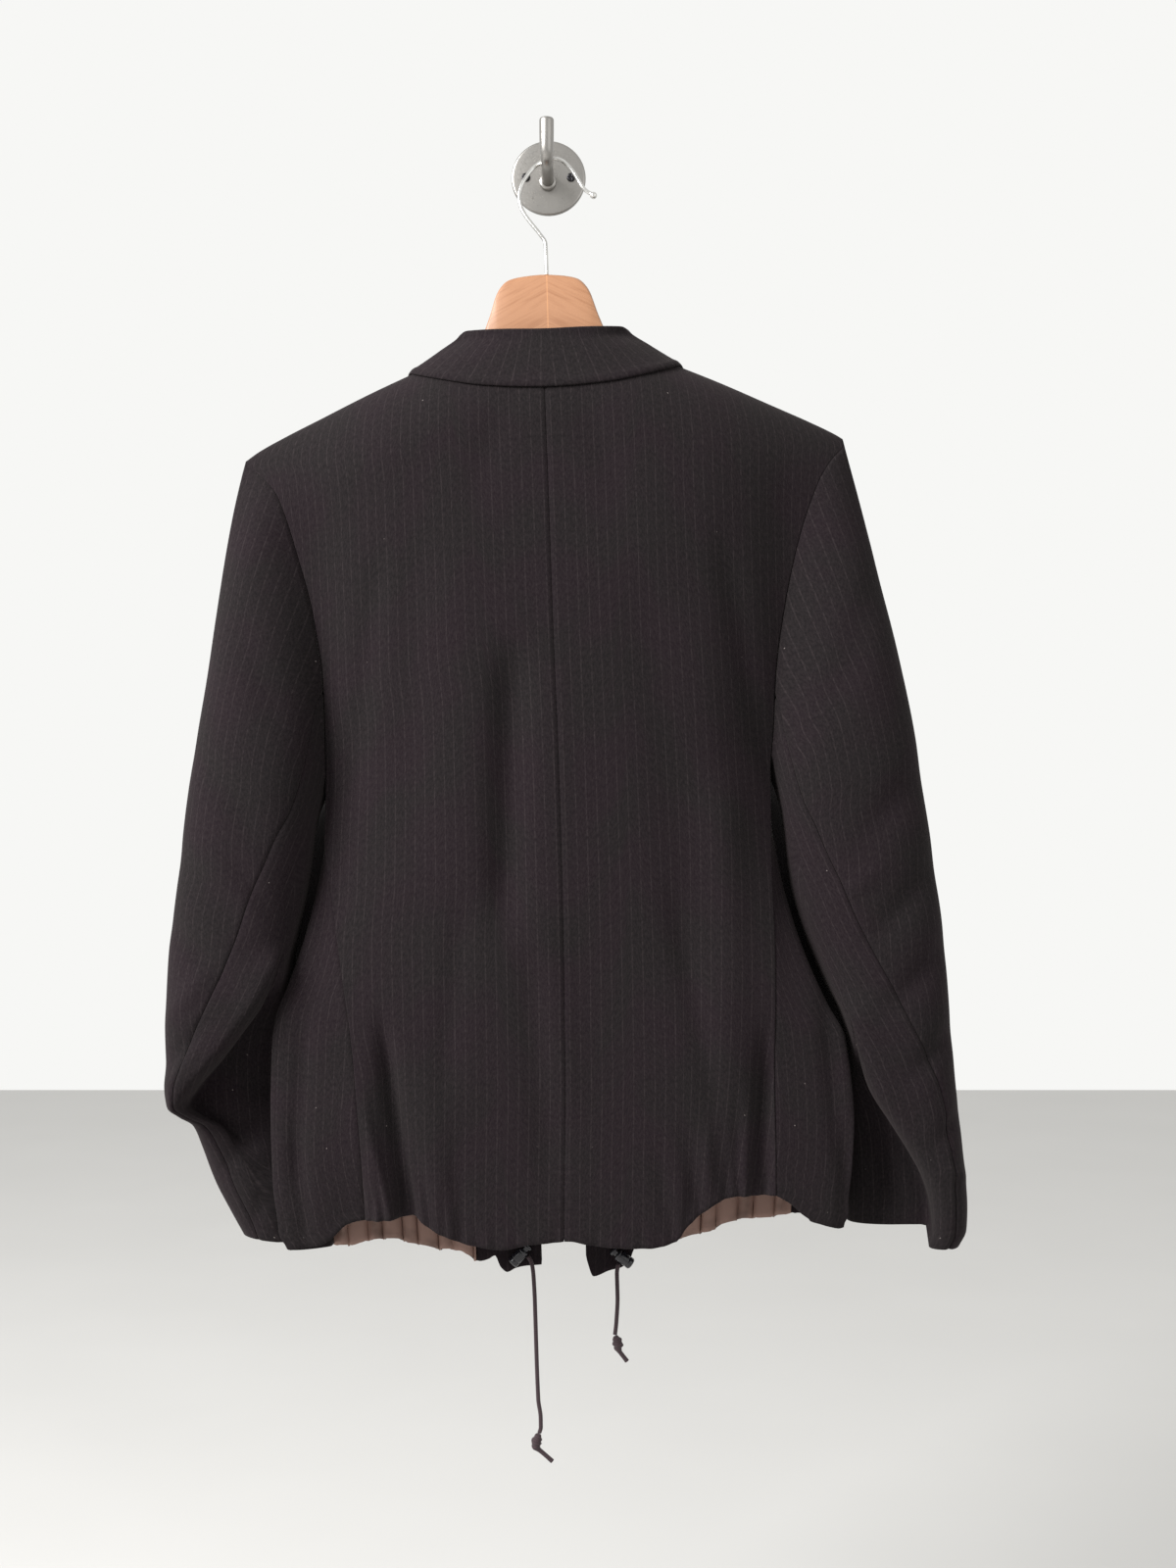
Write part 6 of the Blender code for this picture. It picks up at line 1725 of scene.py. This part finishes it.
@dataclass
class WallHook:
    """The round wall plate, its two screws and its peg."""

    satin: bpy.types.Material
    dark: bpy.types.Material
    report: Report
    screw_at: float = 17.6
    screw_radius: float = 3.4
    recess: float = 0.9

    def build(self) -> None:
        """Make the plate, the peg and the screws."""
        plate = [(0.0, 29.0), (2.2, 29.0), (3.0, 28.4), (3.4, 27.6), (3.8, 23.0), (4.1, 18.0),
                 (4.4, 11.0), (4.6, 6.6), (4.6, 1.0)]
        points, faces, _ = turned((0, 0, 0), (0, -1, 0), softened(plate, 0.5), 96)
        piece = plain_mesh("wall_plate", level(points), faces, None, self.satin)
        self.report.add(piece, "root", "nickel", ["hook_plate"])
        lane = bent([(-0.5, y, z, radius) for y, z, radius in PEG], 0.8)
        points, faces, _ = swept(lane[:, :3], lane[:, 3], 40, 0.2)
        piece = plain_mesh("wall_peg", level(points), faces, None, self.satin)
        self.report.add(piece, "root", "nickel", ["hook_peg"])
        piece = self.screws()
        self.report.add(piece, "root", "screw", ["hook_screw_left", "hook_screw_right"])

    def head(self) -> bpy.types.Object:
        """Make one screw head with its cross recess, facing the camera."""
        count, rings = 32, (self.screw_radius, 3.3, 2.6, 1.7, 1.1, 0.5)
        points = [(0.0, -4.5, 0.0)]
        heights = (-4.55, -5.1, -5.5, -5.62, -5.68, -5.7)
        for radius, height in zip(rings, heights):
            for k in range(count):
                a = 2.0 * math.pi * k / count
                x, z = radius * math.cos(a), radius * math.sin(a)
                in_cross = min(abs(x), abs(z)) < 0.42 and radius < 2.0
                points.append((x, height + (self.recess if in_cross else 0.0), z))
        points.append((0.0, -5.7 + self.recess, 0.0))
        faces = []
        for i in range(len(rings) - 1):
            for k in range(count):
                a, b = 1 + i * count + k, 1 + i * count + (k + 1) % count
                faces.append((a, b, b + count, a + count))
        last = 1 + (len(rings) - 1) * count
        for k in range(count):
            faces.append((0, 1 + (k + 1) % count, 1 + k))
            faces.append((len(points) - 1, last + k, last + (k + 1) % count))
        return plain_mesh("screw_pattern", level(np.array(points)), faces, None, self.dark)

    def screws(self) -> bpy.types.Object:
        """Set the screws side by side with a geometry tree and return them as one mesh."""
        head = self.head()
        tree = bpy.data.node_groups.new("screws in a row", "GeometryNodeTree")
        tree.interface.new_socket("Reach", in_out="INPUT", socket_type="NodeSocketFloat")
        tree.interface.new_socket("Geometry", in_out="OUTPUT", socket_type="NodeSocketGeometry")
        given = add_node(tree, "NodeGroupInput")
        back = add_node(tree, "ShaderNodeMath", {"operation": "MULTIPLY"},
                        {0: given.outputs["Reach"], 1: -1.0})
        twice = add_node(tree, "ShaderNodeMath", {"operation": "MULTIPLY"},
                         {0: given.outputs["Reach"], 1: 2.0})
        start = add_node(tree, "ShaderNodeCombineXYZ", None, {"X": back.outputs[0]})
        step = add_node(tree, "ShaderNodeCombineXYZ", None, {"X": twice.outputs[0]})
        line = add_node(tree, "GeometryNodeMeshLine", {"mode": "OFFSET"},
                        {"Count": 2, "Start Location": start.outputs[0], "Offset": step.outputs[0]})
        shape = add_node(tree, "GeometryNodeObjectInfo", None, {"Object": head})
        placed = add_node(tree, "GeometryNodeInstanceOnPoints", None,
                          {"Points": line.outputs["Mesh"], "Instance": shape.outputs["Geometry"]})
        real = add_node(tree, "GeometryNodeRealizeInstances", None,
                        {"Geometry": placed.outputs["Instances"]})
        painted = add_node(tree, "GeometryNodeSetMaterial", None,
                           {"Geometry": real.outputs["Geometry"], "Material": self.dark})
        add_node(tree, "NodeGroupOutput", None, {"Geometry": painted.outputs["Geometry"]})
        piece = grown("plate_screws", tree, {"Reach": self.screw_at * MM})
        bpy.data.objects.remove(head, do_unlink=True)
        return piece


def grown(name: str, tree: bpy.types.NodeTree, sizes: dict[str, float]) -> bpy.types.Object:
    """Turn a geometry tree's result into a plain mesh object.

    Args:
        name: the object's name.
        tree: the tree to run.
        sizes: its inputs by name.

    Returns:
        The object, with no modifier left.
    """
    carrier = bpy.data.objects.new(name + "_carrier", bpy.data.meshes.new(name + "_carrier"))
    bpy.context.scene.collection.objects.link(carrier)
    modifier = carrier.modifiers.new("grow", "NODES")
    modifier.node_group = tree
    for socket in tree.interface.items_tree:
        if socket.in_out == "INPUT" and socket.name in sizes:
            modifier[socket.identifier] = sizes[socket.name]
    evaluated = carrier.evaluated_get(bpy.context.evaluated_depsgraph_get())
    mesh = bpy.data.meshes.new_from_object(evaluated)
    mesh.name = name
    mesh.shade_smooth()
    item = bpy.data.objects.new(name, mesh)
    bpy.context.scene.collection.objects.link(item)
    bpy.data.objects.remove(carrier, do_unlink=True)
    return item


@dataclass
class Drawstring:
    """The two cord ends with their knots, and the two sprung cord locks."""

    braid: bpy.types.Material
    plastic: bpy.types.Material
    report: Report
    radius: float = 1.6
    sides: int = 20

    def build_cord(self, side: Side) -> None:
        """Make one cord end and its knot, before anything else is made."""
        name = side.value
        lane = bent(CORDS[name], 0.8)
        points, faces, places = swept(lane, [self.radius] * len(lane), self.sides, 0.1)
        cord = plain_mesh("drawstring_" + name, points, faces, places, self.braid)
        self.report.add(cord, "root", "cord", ["cord_" + name])
        knot = self.knot(side)
        self.report.add(knot, "root", "cord", ["knot_" + name])

    def knot(self, side: Side) -> bpy.types.Object:
        """Make an overhand knot: a wrapped ball with a short tail."""
        name = side.value
        rows = np.array([(x, KNOT_DEPTH[name], z, radius) for x, z, radius in KNOTS[name]])
        lane = bent(rows, 0.35)
        points, faces, places = swept(lane[:, :3], lane[:, 3], 36, 0.2)
        along = places[:-2, 1] / MM
        turn = places[:-2, 0]
        body = np.repeat(ease((lane[:, 3] - 1.75) / 1.5), 36)
        # Two turns of cord lie slanted round the knot, with grooves between them
        wave = np.cos(2.0 * math.pi * (along / 4.4 + turn))
        centres = np.repeat(lane[:, :3], 36, axis=0)
        spokes = points[:-2] - centres
        points[:-2] = centres + spokes * (1.0 + (0.10 * wave - 0.10) * body)[:, None]
        places[:-2, 0] += along * 0.05 * body
        return plain_mesh("end_knot_" + name, points, faces, places, self.braid)

    def build_lock(self, side: Side) -> None:
        """Make one cord lock: a barrel with a collar, and its sprung plunger."""
        name = side.value
        start, axis = LOCKS[name]
        barrel = [(0.0, 3.0), (0.0, 3.5), (0.9, 4.5), (3.4, 4.5), (3.7, 4.25), (4.6, 4.25),
                  (4.9, 4.5), (11.2, 4.5), (11.5, 4.3), (12.2, 4.3), (12.5, 4.5), (13.2, 4.4),
                  (13.8, 4.0), (13.8, 3.1), (5.0, 3.1), (5.0, 1.0)]
        points, faces, _ = turned(start, axis, softened(barrel, 0.25), 40)
        piece = plain_mesh("cord_lock_barrel_" + name, points, faces, None, self.plastic)
        self.report.add(piece, "root", "lock", ["lock_barrel_" + name])
        plunger = [(8.0, 1.0), (8.0, 2.7), (16.4, 2.7), (16.4, 3.6), (17.4, 3.9), (18.4, 3.6),
                   (19.0, 2.4), (18.8, 1.0)]
        points, faces, _ = turned(start, axis, softened(plunger, 0.3), 40)
        piece = plain_mesh("cord_lock_plunger_" + name, points, faces, None, self.plastic)
        self.report.add(piece, "plunger_" + name, "lock", ["lock_plunger_" + name])


@dataclass
class Studio:
    """A plain pale floor, a pale surround, soft light and the camera."""

    distance: float = 1.5
    focal: float = 44.06
    camera_x: float = 0.0308
    camera_z: float = -0.4728
    floor_z: float = -1.35
    surround: float = 1.0

    def camera(self) -> None:
        """Set the camera level, looking straight at the wall."""
        data = bpy.data.cameras.new("camera")
        data.lens = self.focal
        data.sensor_width = 36.0
        data.sensor_fit = "AUTO"
        item = bpy.data.objects.new("camera", data)
        item.location = (self.camera_x, -self.distance, self.camera_z)
        item.rotation_euler = (math.radians(90.0), 0.0, 0.0)
        bpy.context.scene.collection.objects.link(item)
        bpy.context.scene.camera = item

    def light(self, name: str, place: tuple[float, float, float], size: float, power: float) -> None:
        """Add one soft square light that faces the jacket."""
        data = bpy.data.lights.new(name, "AREA")
        data.shape = "SQUARE"
        data.size = size
        data.energy = power
        item = bpy.data.objects.new(name, data)
        item.location = place
        aim = np.array([0.0, -0.05, -0.5]) - np.array(place)
        flat = math.hypot(float(aim[0]), float(aim[1]))
        item.rotation_euler = (math.atan2(flat, -float(aim[2])), 0.0,
                               math.atan2(float(aim[1]), float(aim[0])) - math.pi / 2.0)
        bpy.context.scene.collection.objects.link(item)

    def build(self) -> None:
        """Make the floor, the surround and the lights."""
        points = [(-4.0, -4.0), (4.0, -4.0), (4.0, 4.0), (-4.0, 4.0)]
        mesh = bpy.data.meshes.new("floor")
        mesh.from_pydata([(x, y, self.floor_z) for x, y in points], [], [(0, 1, 2, 3)])
        floor = bpy.data.objects.new("floor", mesh)
        material, tree = empty_material("pale floor")
        place = add_node(tree, "ShaderNodeTexCoord").outputs["Object"]
        cloud = apply(tree, Treat.NOISE, place, 3.0)
        base = apply(tree, Treat.BLEND, "BDBCBA", "B8B7B5", cloud)
        finish_shader(material, base, 0.9, None, {})
        mesh.materials.append(material)
        bpy.context.scene.collection.objects.link(floor)
        world = bpy.data.worlds.new("surround")
        world.use_nodes = True
        shade = world.node_tree.nodes["Background"]
        shade.inputs["Color"].default_value = linear("F7F7F5")
        shade.inputs["Strength"].default_value = self.surround
        bpy.context.scene.world = world
        self.light("window on the left", (-2.0, -1.5, 0.9), 1.4, 190.0)
        self.light("fill on the right", (1.9, -2.0, 0.1), 2.0, 10.0)
        bpy.context.scene.view_settings.view_transform = "Standard"


def main() -> None:
    """Build the jacket, its hanger and the wall hook, piece by piece."""
    logging.basicConfig(level=logging.INFO, format="%(name)s %(message)s")
    report = Report()
    studio = Studio()
    studio.camera()
    drawstring = Drawstring(BraidedCord().material(), MouldedPlastic().material(), report)
    for side in Side:
        drawstring.build_cord(side)
    wool = BrushedWool().material()
    armholes = Body(wool, Lining().material(), report).build()
    Sleeves(wool, report).build(armholes)
    Collar(wool, report).build()
    wire = Nickel("D2D1CE", 0.2, "bright nickel").material()
    Hanger(LacqueredWood().material(), wire, report).build()
    WallHook(Nickel().material(), PlatedScrew().material(), report).build()
    for side in Side:
        drawstring.build_lock(side)
    studio.build()
    LOG.info("%d pieces in all", report.pieces)


if __name__ == "__main__":
    main()
